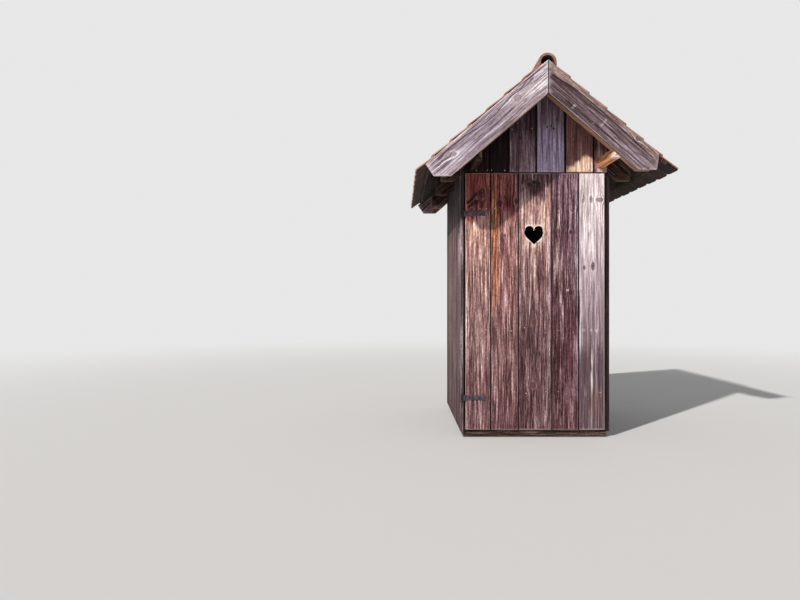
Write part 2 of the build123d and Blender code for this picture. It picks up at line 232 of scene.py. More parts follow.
class Board(Finish):
    """A finish that knows where a place lies in its board, in metres, and how long the board is."""

    def __init__(self, name, length):
        super().__init__(bpy.data.materials.new(name))
        self.length = length
        self.place = self.attribute("grain", "Vector")
        self.across, self.through, self.along = self.split(self.place)
        self.seed = self.attribute("seed") * SEED_STEP

    def pattern(self, kind, place):
        fine, along, octaves, step, roughness = PATTERNS[kind]
        return self.noise(place, fine, along, octaves, self.seed + step, roughness)

    def from_spot(self, place, centre, reach):
        """The way from a spot's centre to a place, in metres and in shares of the spot's reach."""
        way = self.vector("SUBTRACT", place, (centre[0], 0.0, centre[1]))
        return way, self.vector("MULTIPLY", way, (1 / reach[0], 0.0, 1 / reach[1]))

    def above_line(self, across, points):
        """How far a place lies above a wavy line through (across, along) points, in metres."""
        curve = self.node("FloatCurve", {"Value": self.along / self.length})
        mapping = curve.socket.node.mapping
        track = mapping.curves[0].points
        wanted = sorted((along / self.length, 0.5 + aside / CHECK_SPAN) for aside, along in points)
        while len(track) < len(wanted):
            track.new(0.5, 0.5)
        for handle, position in zip(track, wanted):
            handle.location = position
        mapping.update()
        return across - (curve - 0.5) * CHECK_SPAN


print("Patterns of wood, from", PATTERNS["torn"][0], "to", PATTERNS["fine"][0], "waves a metre across")


# %% [markdown]
# ## Knots, grain and rings
#
# A knot is the root of a branch, and the grain flows round it. Moving every place a little across the
# board, away from the knots, bends all the finer patterns at once, so none of them needs to know where
# the knots are. Known knots have their own place. Wild ones are scattered by a cell pattern.

# %% The way of the grain
RING_SPACING = 0.0080
PITH_DEPTH = 0.075
PITH_TILT = 0.035
KNOT_COLOUR = (52, 28, 24)
WILD_SPREAD = (4.2, 0.0, 1.9)


def find_knots(wood, knots, wild_knots):
    """For each knot: the distance from it, how far to its side a place lies, and its colour."""
    edge = wood.pattern("ragged", wood.place) - 0.5
    found = []
    if wild_knots:
        scattered = wood.vector("MULTIPLY", wood.place, WILD_SPREAD)
        moved = wood.vector("ADD", scattered, wood.node("CombineXYZ", {0: wood.seed, 2: wood.seed}))
        inputs = {"Vector": moved, "Scale": 1.0}
        distance = wood.node("TexVoronoi", inputs, "Distance", voronoi_dimensions="3D")
        way = wood.vector("SUBTRACT", moved, distance.beside("Position"))
        found.append((distance / wild_knots + edge, wood.split(way)[0] / WILD_SPREAD[0], KNOT_COLOUR))
    for centre, reach, colour in knots:
        way, share = wood.from_spot(wood.place, centre, reach)
        found.append((wood.vector("LENGTH", share) + edge, wood.split(way)[0], colour))
    return found


def follow_grain(wood, found):
    """Places across the board, moved so that the grain wavers and passes round the knots."""
    shifted = wood.across + (wood.pattern("wobble", wood.place) - 0.5) * 0.009
    shifted = shifted + (wood.pattern("ripple", wood.place) - 0.5) * 0.0016
    for distance, side, _ in found:
        shifted = shifted - side * distance.between(0.2, 3.8, 0.7, 0.0)
    return shifted


def winter_lines(wood, shifted, broad):
    """The dark edge of each yearly ring, counted from a pith that lies behind the board."""
    depth = wood.through + PITH_DEPTH + wood.along * PITH_TILT
    radius = wood.vector("LENGTH", wood.node("CombineXYZ", {0: shifted, 1: depth}))
    ring = wood.math("FRACT", radius / RING_SPACING + broad * 5.0)
    return ring.between(0.35, 0.85) * ring.between(0.86, 1.0, 1.0, 0.0)


print("Rings every", RING_SPACING * 1000, "mm round a pith", PITH_DEPTH * 1000, "mm deep")


# %% [markdown]
# ## The layers of old wood
#
# The base colour runs along the board in a ramp. Broad streaks, dark and pale, lie over it, then the
# local marks and checks, then the rings. The finer streaks are multiplied in rather than mixed, so that
# they keep the hue. Knots and splits come last, because they cut through everything else. The same
# layers drive roughness and relief.

# %% Colour along and across the board
# Where each pattern starts and ends to tell, and how far it darkens and lightens.
STREAKS = {
    "strand": (0.38, 0.62, 0.20, 0.20), "middle": (0.60, 0.40, 0.44, 0.34), "wires": (0.40, 0.60, 0.50, 0.42),
    "pits": (0.38, 0.62, 0.27, 0.23), "fine": (0.30, 0.70, 0.20, 0.20),
}


def lay_tones(wood, tones, broad):
    """The base colour: a ramp along the board, with a ragged change from tone to tone."""
    share = wood.along / wood.length + (wood.pattern("cloud", wood.place) - 0.5) * 0.13
    wood.colour = wood.node("ValToRGB", {0: share + (broad - 0.5) * 0.12})
    stops = wood.colour.socket.node.color_ramp.elements
    while len(stops) < len(tones):
        stops.new(0.5)
    for stop, (position, tone) in zip(stops, tones):
        stop.position = position
        stop.color = paint(*tone)


def lay_marks(wood, flow, streaky, marks, checks):
    """The marks that this board alone has: bands of colour, and checks with other wood above them."""
    for centre, reach, tint, strength in marks:
        share = wood.vector("ABSOLUTE", wood.from_spot(flow, centre, reach)[1])
        aside, _, along = wood.split(share)
        distance = wood.math("MAXIMUM", aside, along) + streaky
        wood.lay(distance.between(1.15, 0.45) * strength, tint)
    for points, width, tint, strength, upper_tint, upper_strength in checks:
        above = wood.above_line(wood.across + streaky * 0.004, points)
        wood.lay(above.between(-0.004, 0.006) * upper_strength, upper_tint)
        wood.lay(abs(above).between(width, width * 0.25, 0.0, strength), tint)


def deepen(wood, layers, contrast):
    """Multiplies the streaks in. Red fades least in the dark ones, as in real wood."""
    depths = None
    for kind, (low, high, down, up) in STREAKS.items():
        lines = layers[kind].between(low, high, 1 - down * contrast, 1 + up * contrast)
        depths = depths * lines if depths else lines
    ruddy = wood.math("POWER", depths, 1.22)
    tint = wood.node("CombineXYZ", {0: depths, 1: ruddy, 2: ruddy})
    wood.colour = wood.mix(1.0, wood.colour, tint, "MULTIPLY")


def lay_knots(wood, found, fine, dark, light):
    """A pale halo, a ringed core and a dark rim for every knot. Returns where the cores lie."""
    cores = []
    for distance, _, core in found:
        wood.lay(distance.between(2.2, 1.2, 0.0, 0.07), light)
        rings = wood.math("SINE", distance * 7.0 + fine * 2.0).between(-1.0, 1.0, 0.62, 1.0)
        cores.append(distance.between(1.1, 0.8))
        wood.lay(cores[-1] * rings, core)
        wood.lay(abs(distance - 1.1).between(0.35, 0.05, 0.0, 0.6), dark)
    return cores


print("Streaks multiplied in:", ", ".join(STREAKS))

# %% Timber recipe
SPLIT_WIDTH = (0.011, 0.002)
SPLIT_SHARE = 0.7
SPLIT_COLOUR = (22, 14, 14)
JOINT_COLOUR = (24, 14, 15)


def timber(name, length, tones, dark, light, contrast=1.0, dark_share=0.5, light_share=0.32, knots=(),
           marks=(), checks=(), wild_knots=0.0, worn=0.4):
    """A board's finish. Tones run from its start to its end; knots and marks have places on its face."""
    wood = Board(name, length)
    found = find_knots(wood, knots, wild_knots)
    shifted = follow_grain(wood, found)
    flow = wood.node("CombineXYZ", {0: shifted, 1: wood.through, 2: wood.along})
    layers = {kind: wood.pattern(kind, flow) for kind in ("broad", "strand", "middle", "wires", "fine")}
    layers["pits"] = wood.pattern("pits", wood.place)
    broad, middle, fine = layers["broad"], layers["middle"], layers["fine"]
    winter = winter_lines(wood, shifted, broad)

    lay_tones(wood, tones, broad)
    wood.lay((broad * 0.6 + middle * 0.4).between(0.50, 0.62) * dark_share, dark)
    wood.lay((broad * 0.35 + middle * 0.65).between(0.48, 0.37) * light_share, light)
    lay_marks(wood, flow, (middle - 0.5) * 1.6, marks, checks)
    wood.lay(winter * 0.42, dark)
    deepen(wood, layers, contrast)
    wood.lay(wood.pattern("flecks", flow).between(0.64, 0.76, 0.0, 0.3 * contrast), light)
    cores = lay_knots(wood, found, fine, dark, light)

    torn = wood.pattern("torn", wood.place).between(0.46, 0.54)
    split = abs(wood.pattern("line", flow) - 0.5).between(*SPLIT_WIDTH) * torn * SPLIT_SHARE
    wood.lay(split, SPLIT_COLOUR)
    joint = wood.attribute("joint")
    wood.lay(wood.attribute("arris") * (1.0 - joint) * worn, light)
    wood.lay(joint.between(0.30, 0.80, 0.0, 0.9), JOINT_COLOUR)

    height = middle * 0.9 + fine * 0.5 - winter * 0.25 - split * 2.0
    for core in cores:
        height = height - core * 0.5
    wood.shader.inputs["Specular IOR Level"].default_value = 0.15
    return wood.close(middle.between(0.2, 0.8, 0.7, 0.9), height, depth=0.0016, strength=0.8)


print("Splits up to", SPLIT_WIDTH[0], "of a wave wide")


# %% [markdown]
# ## Boards that are sawn, rounded and worn
#
# A sawn board is a plain block, but an old one isn't: its arrises are rounded, its faces have cupped
# and weathered into ridges, and no two are alike. A shader can only paint that, and the outline would
# stay sharp. So each solid is copied, its arrises are cut back, and it is divided into small cells.
# Every point then sinks a little below the sawn face, never above it, and the worn board still fits
# where the sawn one did.

# %% Directions
RIGHT, BACK, UP = Vector((1, 0, 0)), Vector((0, 1, 0)), Vector((0, 0, 1))
UPRIGHT, ACROSS, DEEP, SIDE_ON = (UP, RIGHT), (RIGHT, UP), (BACK, UP), (UP, BACK)
PITCH = math.radians(40.5)


def slope_grain(side):
    """The directions up a roof slope and square to it, on the left (-1) or on the right (1)."""
    up_it = Vector((-side * math.cos(PITCH), 0, math.sin(PITCH)))
    return up_it, Vector((side * math.sin(PITCH), 0, math.cos(PITCH)))


LEFT_SLOPE, RIGHT_SLOPE = slope_grain(-1), slope_grain(1)
print("Up the left slope:", [round(part, 3) for part in LEFT_SLOPE[0]])


# %% Clean copies of the solids
def open_solid(node):
    """The solids of a node as one clean mesh that can be cut."""
    mesh = bmesh.new()
    mesh.from_mesh(frame["nodes"][node].data)
    bmesh.ops.remove_doubles(mesh, verts=mesh.verts, dist=1e-5)
    bmesh.ops.dissolve_limit(mesh, angle_limit=math.radians(0.5), verts=mesh.verts, edges=mesh.edges)
    return mesh


def boards_of(mesh):
    """The separate solids of a mesh as lists of vertices, from left to right and from front to back."""
    unseen = set(mesh.verts)
    groups = []
    for start in mesh.verts:
        if start not in unseen:
            continue
        unseen.discard(start)
        group = [start]
        for vertex in group:
            for edge in vertex.link_edges:
                other = edge.other_vert(vertex)
                if other in unseen:
                    unseen.discard(other)
                    group.append(other)
        groups.append(group)
    return sorted(groups, key=lambda group: sum(v.co.x + 0.1 * v.co.y for v in group) / len(group))


def board_zero(group, grain):
    """Where the board's middle lies across and through the grain, and where the board starts."""
    along, side = grain
    sides = [vertex.co.dot(side) for vertex in group]
    depths = [vertex.co.dot(along.cross(side)) for vertex in group]
    start = min(vertex.co.dot(along) for vertex in group)
    return (min(sides) + max(sides)) / 2, (min(depths) + max(depths)) / 2, start


def on_board(node, grain, entries, number=0):
    """Moves places in the front view, in metres, onto a board's own face."""
    mesh = open_solid(node)
    middle, _, start = board_zero(boards_of(mesh)[number], grain)
    mesh.free()
    along, side = grain
    moved = []
    for (x, z), *rest in entries:
        place = Vector((x, 0, z))
        moved.append(((place.dot(side) - middle, place.dot(along) - start), *rest))
    return moved


zero = on_board("door_plank_1", UPRIGHT, [((0, 0),)])[0][0]
print("Plank 1 has its middle and its foot at", [round(-part, 3) for part in zero])

# %% Cutting and closing meshes
SHARP = math.radians(25)


def sharp_edges(mesh, angle=SHARP):
    return [edge for edge in mesh.edges if len(edge.link_faces) == 2 and edge.calc_face_angle() > angle]


def cut_arrises(mesh, edges, width, profile=0.6, segments=2):
    bmesh.ops.bevel(mesh, geom=edges, offset=width, segments=segments, profile=profile, affect="EDGES",
                    clamp_overlap=True)


def turn_at(vertex):
    """The widest angle between the faces that meet at a point."""
    normals = [face.normal for face in vertex.link_faces]
    return max((normals[0].angle(other, 0.0) for other in normals[1:]), default=0.0)


def slice_up(mesh, direction, step, inset):
    """Cuts the mesh into cells with planes square to a direction."""
    reach = [vertex.co.dot(direction) for vertex in mesh.verts]
    low, high = min(reach) + inset, max(reach) - inset
    count = max(1, round((high - low) / step))
    for index in range(count + 1):
        at = low + (high - low) * index / count
        parts = mesh.verts[:] + mesh.edges[:] + mesh.faces[:]
        bmesh.ops.bisect_plane(mesh, geom=parts, dist=1e-6, plane_co=direction * at, plane_no=direction)


def skin(mesh, near, far):
    """A band of faces between two closed rings of points."""
    return [mesh.faces.new(corners) for corners in zip(near, near[1:] + near[:1], far[1:] + far[:1], far)]


def close_tube(mesh, rings):
    """A tube through closed rings of points, with a flat face at each end."""
    for near, far in zip(rings, rings[1:]):
        skin(mesh, near, far)
    mesh.faces.new(rings[0][::-1])
    mesh.faces.new(rings[-1])


def triangles_in(data):
    return sum(len(face.vertices) - 2 for face in data.polygons)


def make_piece(mesh, name, finishes, crease):
    """A finished mesh as an object of the scene, smooth but for edges that turn more than the crease."""
    data = bpy.data.meshes.new(name)
    mesh.to_mesh(data)
    mesh.free()
    for finish in finishes:
        data.materials.append(finish)
    if crease:
        data.shade_smooth()
        data.set_sharp_from_angle(angle=math.radians(crease))
    piece = bpy.data.objects.new(name, data)
    scene.collection.objects.link(piece)
    print(name, "triangles", triangles_in(data))
    return piece


def stand_for(piece, node):
    """Puts a finished piece in place of the solid that it dresses."""
    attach(piece, body_of_node[node])
    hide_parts(node)


# %% Wear
NOWHERE = Vector((9, 9, 9))
END_INSET = 0.006
FACE_INSET = 0.0055
ARRIS_TURN = math.radians(12)
BOARD_CREASE = 32


def inside(point, low, high):
    return all(low[axis] <= point[axis] <= high[axis] for axis in range(3))


def wear_down(vertex, place, seed, at_arris, wear, ridge):
    """Sinks one point below the sawn face: broad hollows, ridges along the grain, nicks at the arris."""
    across, through, along = place
    shift = Vector((seed * 50, seed * 20, 0))
    lump = noise.noise(Vector((across * 14, through * 14, along * 3.5)) + shift)
    ribs = noise.noise(Vector((across * 85, through * 85, along * 2.2)) + shift)
    sink = wear * (0.55 + 0.45 * lump) + ridge * (0.5 + 0.5 * ribs)
    if at_arris:
        nick = noise.noise(Vector((across * 60, through * 60, along * 22)) + shift)
        sink += wear * (0.5 + 0.9 * max(0.0, nick))
    vertex.co -= vertex.normal * sink


def dress(node, grain, finishes, cell, arris=0.0025, wear=0.0009, ridge=0.0003, joints=(0, 0), seam=0.0,
          carve=None):
    """A worn copy of a timber solid, in cells so long and so wide. Each board takes the next finish.

    The two joints say whether another board lies close at its low side and at its high side, and the seam
    is the reach of a joint on the ridge line. A carving shapes the mesh first, and returns the box in
    which every arris is a fresh cut.
    """
    along, side = grain
    through = along.cross(side)
    chance = random.Random(node)
    mesh = open_solid(node)
    cut_low, cut_high = carve(mesh) if carve else (NOWHERE, NOWHERE)
    old = [edge for edge in sharp_edges(mesh) if not all(inside(v.co, cut_low, cut_high) for v in edge.verts)]
    cut_arrises(mesh, old, arris)
    slice_up(mesh, along, cell[0], END_INSET)
    slice_up(mesh, side, cell[1], FACE_INSET)
    slice_up(mesh, through, 1.0, FACE_INSET)
    bmesh.ops.triangulate(mesh, faces=[face for face in mesh.faces if len(face.verts) > 4])
    mesh.normal_update()

    grain_layer = mesh.verts.layers.float_vector.new("grain")
    layer = {name: mesh.verts.layers.float.new(name) for name in ("seed", "arris", "joint")}
    for number, group in enumerate(boards_of(mesh)):
        seed = chance.random()
        middle, core, start = board_zero(group, grain)
        half = max(vertex.co.dot(side) for vertex in group) - middle - 1.3 * arris
        for vertex in group:
            spot = vertex.co
            spread = (spot.dot(side) - middle, spot.dot(through) - core, spot.dot(along) - start)
            vertex[grain_layer] = spread
            vertex[layer["seed"]] = seed
            paleness = 1.8 if inside(spot, cut_low, cut_high) else 1.0
            vertex[layer["arris"]] = paleness if turn_at(vertex) > ARRIS_TURN else 0.0
            met = (joints[0] and spread[0] < -half) or (joints[1] and spread[0] > half)
            vertex[layer["joint"]] = 1.0 if met or abs(spot.x) < seam else 0.0
            for face in vertex.link_faces:
                face.material_index = number % len(finishes)
        for vertex in group:
            wear_down(vertex, vertex[grain_layer], seed, vertex[layer["arris"]] > 0.5, wear, ridge)
    stand_for(make_piece(mesh, node + "_worn", finishes, BOARD_CREASE), node)


print("Arrises turn more than", round(math.degrees(ARRIS_TURN)), "degrees")


# %% [markdown]
# ## The door
#
# Five upright planks, each with its own history. The two on the left turn a darker red-brown at the top,
# which is painted shade where the eave's shadow falls on them; the wide one has the heart cut in it and
# darkens at the top in the same way, the fourth is a dark purple-brown, and the last has bleached to
# silver at the top. One finish for all five would hide that, so each plank gets its own tones, knots and
# marks. Their places are in metres from the ridge line and from the ground, seen from the front, and are
# turned into places on the plank.

# %% The heart
HEART_LEVELS = (1.390, 1.545)
HEART_REACH = 0.085
HEART_FLANK = [(0.0, 0.0), (0.015, 0.0150), (0.030, 0.0310), (0.044, 0.0465),
               (0.058, 0.0600), (0.072, 0.0675), (0.086, 0.0695), (0.1018, 0.0670)]
HEART_CHAMFER = 0.0055
SAME = 0.0005


def carve_heart(mesh):
    """Draws the heart's flanks straighter and chamfers its front edge, as a knife would."""
    low, high = HEART_LEVELS
    ring = [vertex for vertex in mesh.verts if low < vertex.co.z < high]
    tip = min(vertex.co.z for vertex in ring)
    lowest = [vertex.co.x for vertex in ring if vertex.co.z < tip + SAME]
    centre = sum(lowest) / len(lowest)
    for vertex in ring:
        height = vertex.co.z - tip
        for (start, narrow), (end, wide) in zip(HEART_FLANK, HEART_FLANK[1:]):
            if start <= height < end - 0.0002:
                half = narrow + (wide - narrow) * (height - start) / (end - start)
                vertex.co.x = centre + math.copysign(half, vertex.co.x - centre)
    front = min(vertex.co.y for vertex in ring)
    ring = {vertex for vertex in ring if vertex.co.y < front + SAME}
    rim = [edge for edge in sharp_edges(mesh) if all(vertex in ring for vertex in edge.verts)]
    cut_arrises(mesh, rim, HEART_CHAMFER, profile=0.5, segments=1)
    print("Heart tip at", round(tip, 3), "rim edges", len(rim))
    cut_low = Vector((centre - HEART_REACH, front - 0.01, low))
    return cut_low, Vector((centre + HEART_REACH, front + 0.03, high))


# %% Door planks
PLANK_LENGTH = 1.851


def door_plank(number, name, tones, dark, light, knots, marks, carve=None, worn=0.55, **more):
    """One upright plank, dressed in its own finish. The outer planks have a joint on one side only."""
    node = "door_plank_%d" % number
    knots, marks = on_board(node, UPRIGHT, knots), on_board(node, UPRIGHT, marks)
    finish = timber(name, PLANK_LENGTH, tones, dark, light, knots=knots, marks=marks, worn=worn, **more)
    dress(node, UPRIGHT, [finish], cell=(0.045, 0.0055), arris=0.0026, wear=0.0008, ridge=0.0005,
          joints=(number > 1, number < 5), carve=carve)


def stroke(start, end, count, reach, tint, strength):
    """A slanting stroke of colour, as a row of marks that overlap."""
    shares = [index / (count - 1) for index in range(count)]
    way = (end[0] - start[0], end[1] - start[1])
    places = [(start[0] + way[0] * share, start[1] + way[1] * share) for share in shares]
    return [(place, reach, tint, strength) for place in places]


# Above 0.8 of its length plank 1 turns darker and redder: painted shade where the eave's shadow falls.
door_plank(
    1, "plank_red_brown",
    [(0.0, (118, 88, 90)), (0.35, (152, 120, 120)), (0.8, (212, 166, 158)), (0.835, (162, 92, 86)),
     (1.0, (156, 84, 80))],
    (70, 24, 24), (222, 184, 178),
    [((-0.394, 1.767), (0.021, 0.032), (26, 4, 4)), ((-0.436, 1.7), (0.013, 0.017), (36, 8, 6))],
    [((-0.415, 1.735), (0.072, 0.1), (84, 38, 36), 0.55), ((-0.35, 1.83), (0.012, 0.12), (164, 98, 80), 0.5),
     ((-0.47, 1.8), (0.01, 0.1), (150, 92, 84), 0.5),
     *stroke((-0.492, 1.7), (-0.416, 1.764), 8, (0.015, 0.011), (24, 3, 3), 0.95),
     *stroke((-0.486, 1.668), (-0.42, 1.714), 7, (0.014, 0.01), (28, 5, 5), 0.85),
     ((-0.392, 1.69), (0.011, 0.034), (34, 8, 8), 0.8),
     ((-0.503, 1.14), (0.007, 0.33), (230, 206, 206), 0.65),
     ((-0.445, 1.47), (0.06, 0.09), (230, 184, 164), 0.55),
     ((-0.35, 1.1), (0.01, 0.6), (196, 160, 154), 0.4)],
    contrast=0.82,
)
# Above 0.8 of its length plank 2 turns darker and redder: painted shade where the eave's shadow falls.
door_plank(
    2, "plank_orange_streak",
    [(0.0, (118, 84, 86)), (0.35, (140, 104, 104)), (0.8, (172, 124, 118)), (0.85, (150, 82, 82)),
     (1.0, (136, 76, 76))],
    (68, 28, 34), (220, 188, 188),
    [((-0.262, 1.695), (0.013, 0.022), (44, 18, 20)), ((-0.146, 1.712), (0.011, 0.02), (48, 20, 22)),
     ((-0.232, 1.462), (0.009, 0.011), (60, 34, 34))],
    [((-0.298, 1.36), (0.027, 0.44), (192, 124, 92), 0.85),
     ((-0.3, 1.79), (0.016, 0.15), (150, 90, 66), 0.6),
     ((-0.235, 1.777), (0.007, 0.085), (196, 146, 118), 0.8),
     ((-0.2, 1.7), (0.055, 0.06), (64, 26, 30), 0.6), ((-0.27, 1.74), (0.014, 0.1), (70, 30, 32), 0.5),
     ((-0.137, 1.2), (0.007, 0.62), (210, 184, 182), 0.65)],
    contrast=0.88,
)
# From 0.89 to 0.94 of its length plank 3 turns dark: painted shade where the eave's shadow falls.
door_plank(
    3, "plank_with_heart",
    [(0.0, (106, 78, 82)), (0.4, (120, 90, 94)), (0.68, (158, 120, 121)), (0.8, (204, 164, 160)),
     (0.89, (206, 166, 160)), (0.94, (114, 82, 91))],
    (72, 38, 42), (246, 222, 215),
    [((-0.05, 1.832), (0.018, 0.013), (40, 20, 20)), ((0.014, 1.84), (0.013, 0.012), (40, 20, 20)),
     ((-0.016, 0.838), (0.014, 0.017), (96, 54, 48)), ((-0.025, 0.382), (0.016, 0.02), (88, 50, 46))],
    [((-0.016, 1.46), (0.085, 0.12), (216, 184, 164), 0.45),
     ((0.06, 1.6), (0.02, 0.13), (222, 184, 164), 0.5),
     ((-0.085, 1.58), (0.016, 0.16), (214, 176, 160), 0.4),
     ((-0.02, 1.27), (0.014, 0.18), (214, 182, 168), 0.45),
     ((0.099, 1.0), (0.011, 0.85), (178, 146, 156), 0.6), ((-0.02, 1.8), (0.06, 0.055), (74, 46, 52), 0.6),
     ((-0.042, 1.822), (0.016, 0.016), (22, 8, 10), 0.95),
     ((-0.018, 1.846), (0.03, 0.013), (22, 8, 10), 0.95), ((0.01, 1.826), (0.014, 0.018), (22, 8, 10), 0.95),
     ((-0.072, 1.8), (0.012, 0.055), (150, 118, 120), 0.6),
     ((-0.092, 1.822), (0.01, 0.012), (222, 198, 198), 0.8),
     ((0.088, 1.76), (0.026, 0.11), (206, 162, 154), 0.8),
     ((0.07, 1.86), (0.03, 0.04), (150, 122, 126), 0.4),
     ((-0.108, 1.186), (0.014, 0.01), (196, 164, 156), 0.5), ((0.045, 0.8), (0.012, 0.5), (84, 54, 56), 0.5)],
    carve=carve_heart, contrast=0.85,
)
door_plank(
    4, "plank_purple_brown",
    [(0.0, (104, 72, 74)), (0.35, (108, 74, 76)), (0.6, (116, 84, 91)), (0.8, (130, 99, 111)),
     (1.0, (132, 101, 114))],
    (58, 30, 38), (194, 166, 174),
    [((0.157, 1.493), (0.011, 0.017), (92, 54, 54)), ((0.248, 1.486), (0.009, 0.012), (28, 14, 18)),
     ((0.247, 1.054), (0.013, 0.017), (46, 24, 26))],
    [((0.157, 1.56), (0.009, 0.075), (210, 184, 182), 0.8),
     ((0.15, 1.32), (0.024, 0.15), (190, 160, 160), 0.55),
     ((0.172, 1.12), (0.012, 0.2), (182, 152, 152), 0.5),
     ((0.236, 1.066), (0.013, 0.009), (232, 198, 182), 0.9),
     ((0.289, 0.95), (0.013, 0.85), (160, 134, 150), 0.65),
     ((0.193, 0.82), (0.006, 0.16), (200, 170, 172), 0.8),
     ((0.236, 0.68), (0.034, 0.36), (82, 44, 44), 0.65)],
)
door_plank(
    5, "plank_silver",
    [(0.0, (88, 67, 72)), (0.3, (92, 73, 80)), (0.52, (188, 168, 177)), (0.7, (230, 213, 219)),
     (1.0, (243, 229, 231))],
    (112, 90, 100), (240, 228, 230),
    [((0.336, 1.714), (0.009, 0.012), (148, 124, 134)), ((0.395, 1.724), (0.008, 0.022), (96, 72, 84)),
     ((0.457, 1.719), (0.02, 0.013), (98, 76, 88)), ((0.346, 1.229), (0.009, 0.016), (72, 50, 58)),
     ((0.408, 1.24), (0.012, 0.024), (76, 52, 58))],
    [((0.412, 0.98), (0.009, 0.22), (104, 80, 92), 0.7), ((0.4, 0.47), (0.007, 0.17), (208, 192, 194), 0.9),
     ((0.322, 1.2), (0.009, 0.6), (218, 204, 212), 0.5), ((0.309, 0.93), (0.006, 0.13), (24, 14, 16), 0.95),
     ((0.44, 1.35), (0.012, 0.3), (146, 122, 132), 0.5),
     ((0.372, 1.45), (0.007, 0.35), (158, 136, 146), 0.5), ((0.42, 0.25), (0.045, 0.12), (112, 80, 76), 0.6),
     ((0.34, 0.778), (0.01, 0.012), (216, 198, 176), 0.6),
     ((0.396, 0.778), (0.008, 0.01), (220, 204, 190), 0.6),
     ((0.43, 0.776), (0.009, 0.01), (216, 198, 176), 0.6)],
    contrast=0.32, worn=0.7,
)

# %% Ledges on the back of the door
ledge_timber = timber(
    "ledge_timber", 0.868, [(0.0, (138, 100, 82)), (1.0, (146, 108, 88))], (92, 58, 46), (186, 150, 122),
    dark_share=0.45, light_share=0.35, wild_knots=0.075,
)
for place in ("bottom", "middle", "top"):
    dress("ledge_" + place, ACROSS, [ledge_timber], cell=(0.045, 0.010))

# %% [markdown]
# ## The gable over the door
#
# Six short boards fill the triangle above the door, under the eaves. The two on the left are nearly
# black, which is painted shade; the fourth is blue-grey; the fifth is a warm brown with a painted patch of
# sunlight low on it; and the narrow last one is pale at its foot where sunlight fell and darker above, as
# painted light and shade. One finish a board keeps those differences.

# %% Gable boards
GABLE_LENGTH = 0.6


def gable_board(number, name, low, high, dark, light, knots=(), marks=(), turn=0.5, **more):
    """A short board's finish, pale up to the turn and darker above it."""
    knots, marks = (on_board("gable_front", UPRIGHT, entries, number) for entries in (knots, marks))
    tones = [(0.0, low), (turn * 0.6, low), (turn, high), (1.0, high)]
    return timber(name, GABLE_LENGTH, tones, dark, light, knots=knots, marks=marks, **more)


gable_finishes = [
    # The two left boards are nearly black as painted shade under the eaves.
    gable_board(0, "gable_black_left", (36, 15, 21), (31, 14, 19), (18, 5, 9), (67, 42, 45), contrast=0.6),
    gable_board(1, "gable_black", (33, 17, 21), (28, 14, 18), (15, 5, 8), (58, 36, 39), contrast=0.6),
    gable_board(
        2, "gable_purple", (134, 106, 117), (88, 65, 74), (52, 34, 41), (186, 160, 169),
        [((-0.116, 2.169), (0.01, 0.014), (45, 29, 36))],
        [((-0.07, 2.12), (0.006, 0.12), (176, 149, 158), 0.5),
         ((-0.16, 2.05), (0.012, 0.14), (90, 67, 76), 0.5)],
        contrast=0.65,
    ),
    gable_board(
        3, "gable_blue_grey", (196, 180, 214), (144, 119, 135), (97, 76, 92), (241, 230, 250),
        [((0.079, 2.248), (0.007, 0.01), (42, 27, 33)), ((0.108, 2.256), (0.007, 0.01), (42, 27, 33)),
         ((0.126, 2.234), (0.007, 0.009), (42, 27, 33))],
        [((0.085, 2.34), (0.01, 0.09), (194, 158, 155), 0.5),
         ((0.125, 2.33), (0.008, 0.07), (183, 149, 149), 0.4),
         ((0.105, 2.02), (0.012, 0.12), (137, 128, 158), 0.5)],
        contrast=0.42, turn=0.62,
    ),
    gable_board(
        4, "gable_warm", (160, 116, 110), (152, 106, 106), (98, 58, 58), (214, 174, 160), (),
        [((0.3, 2.13), (0.012, 0.12), (160, 118, 116), 0.6),
         # These three pale marks are a painted patch of sunlight, where the sun falls on the board under the
         # eave.
         ((0.315, 1.94), (0.13, 0.03), (252, 220, 194), 0.9),
         ((0.34, 1.965), (0.08, 0.04), (252, 220, 194), 0.9),
         ((0.375, 1.995), (0.055, 0.04), (250, 216, 190), 0.8)],
        turn=0.3, light_share=0.3, contrast=0.45,
    ),
    # Pale at the foot where sunlight fell and darker above the turn: painted sunlight below, painted shade
    # above.
    gable_board(
        5, "gable_narrow", (212, 172, 172), (126, 84, 84), (84, 54, 56), (224, 196, 190), turn=0.3,
        contrast=0.6,
    ),
]
dress("gable_front", UPRIGHT, gable_finishes, cell=(0.035, 0.0065), arris=0.0036, wear=0.0009, ridge=0.0005,
      joints=(1, 1))

# %% [markdown]
# ## Walls and back gable
#
# The side walls and the back are out of sight from the front, so they follow the door's family of
# colours: silver-grey to purple-brown, darker near the ground where rain splashes. Each board's seed
# shifts its streaks and knots, which saves a finish a board.

# %% Wall boards
WALL_LENGTH = 2.07
WALL_TONES = ((0.0, (72, 54, 54)), (0.12, (92, 72, 72)), (0.45, (122, 100, 101)), (0.68, (112, 90, 90)))
WALL_BOARDS = dict(cell=(0.060, 0.010), ridge=0.0005)


def wall_timber(name, shift, dark, light, top, **more):
    """A wall board's finish: splashed at the foot, silver-brown in the middle and, as painted shade, dark
    under the eaves.
    """
    tones = [(share, [part + change for part, change in zip(tone, shift)]) for share, tone in WALL_TONES]
    tones.append((0.82, top))
    return timber(name, WALL_LENGTH, tones, dark, light, contrast=0.64, dark_share=0.35, **more)


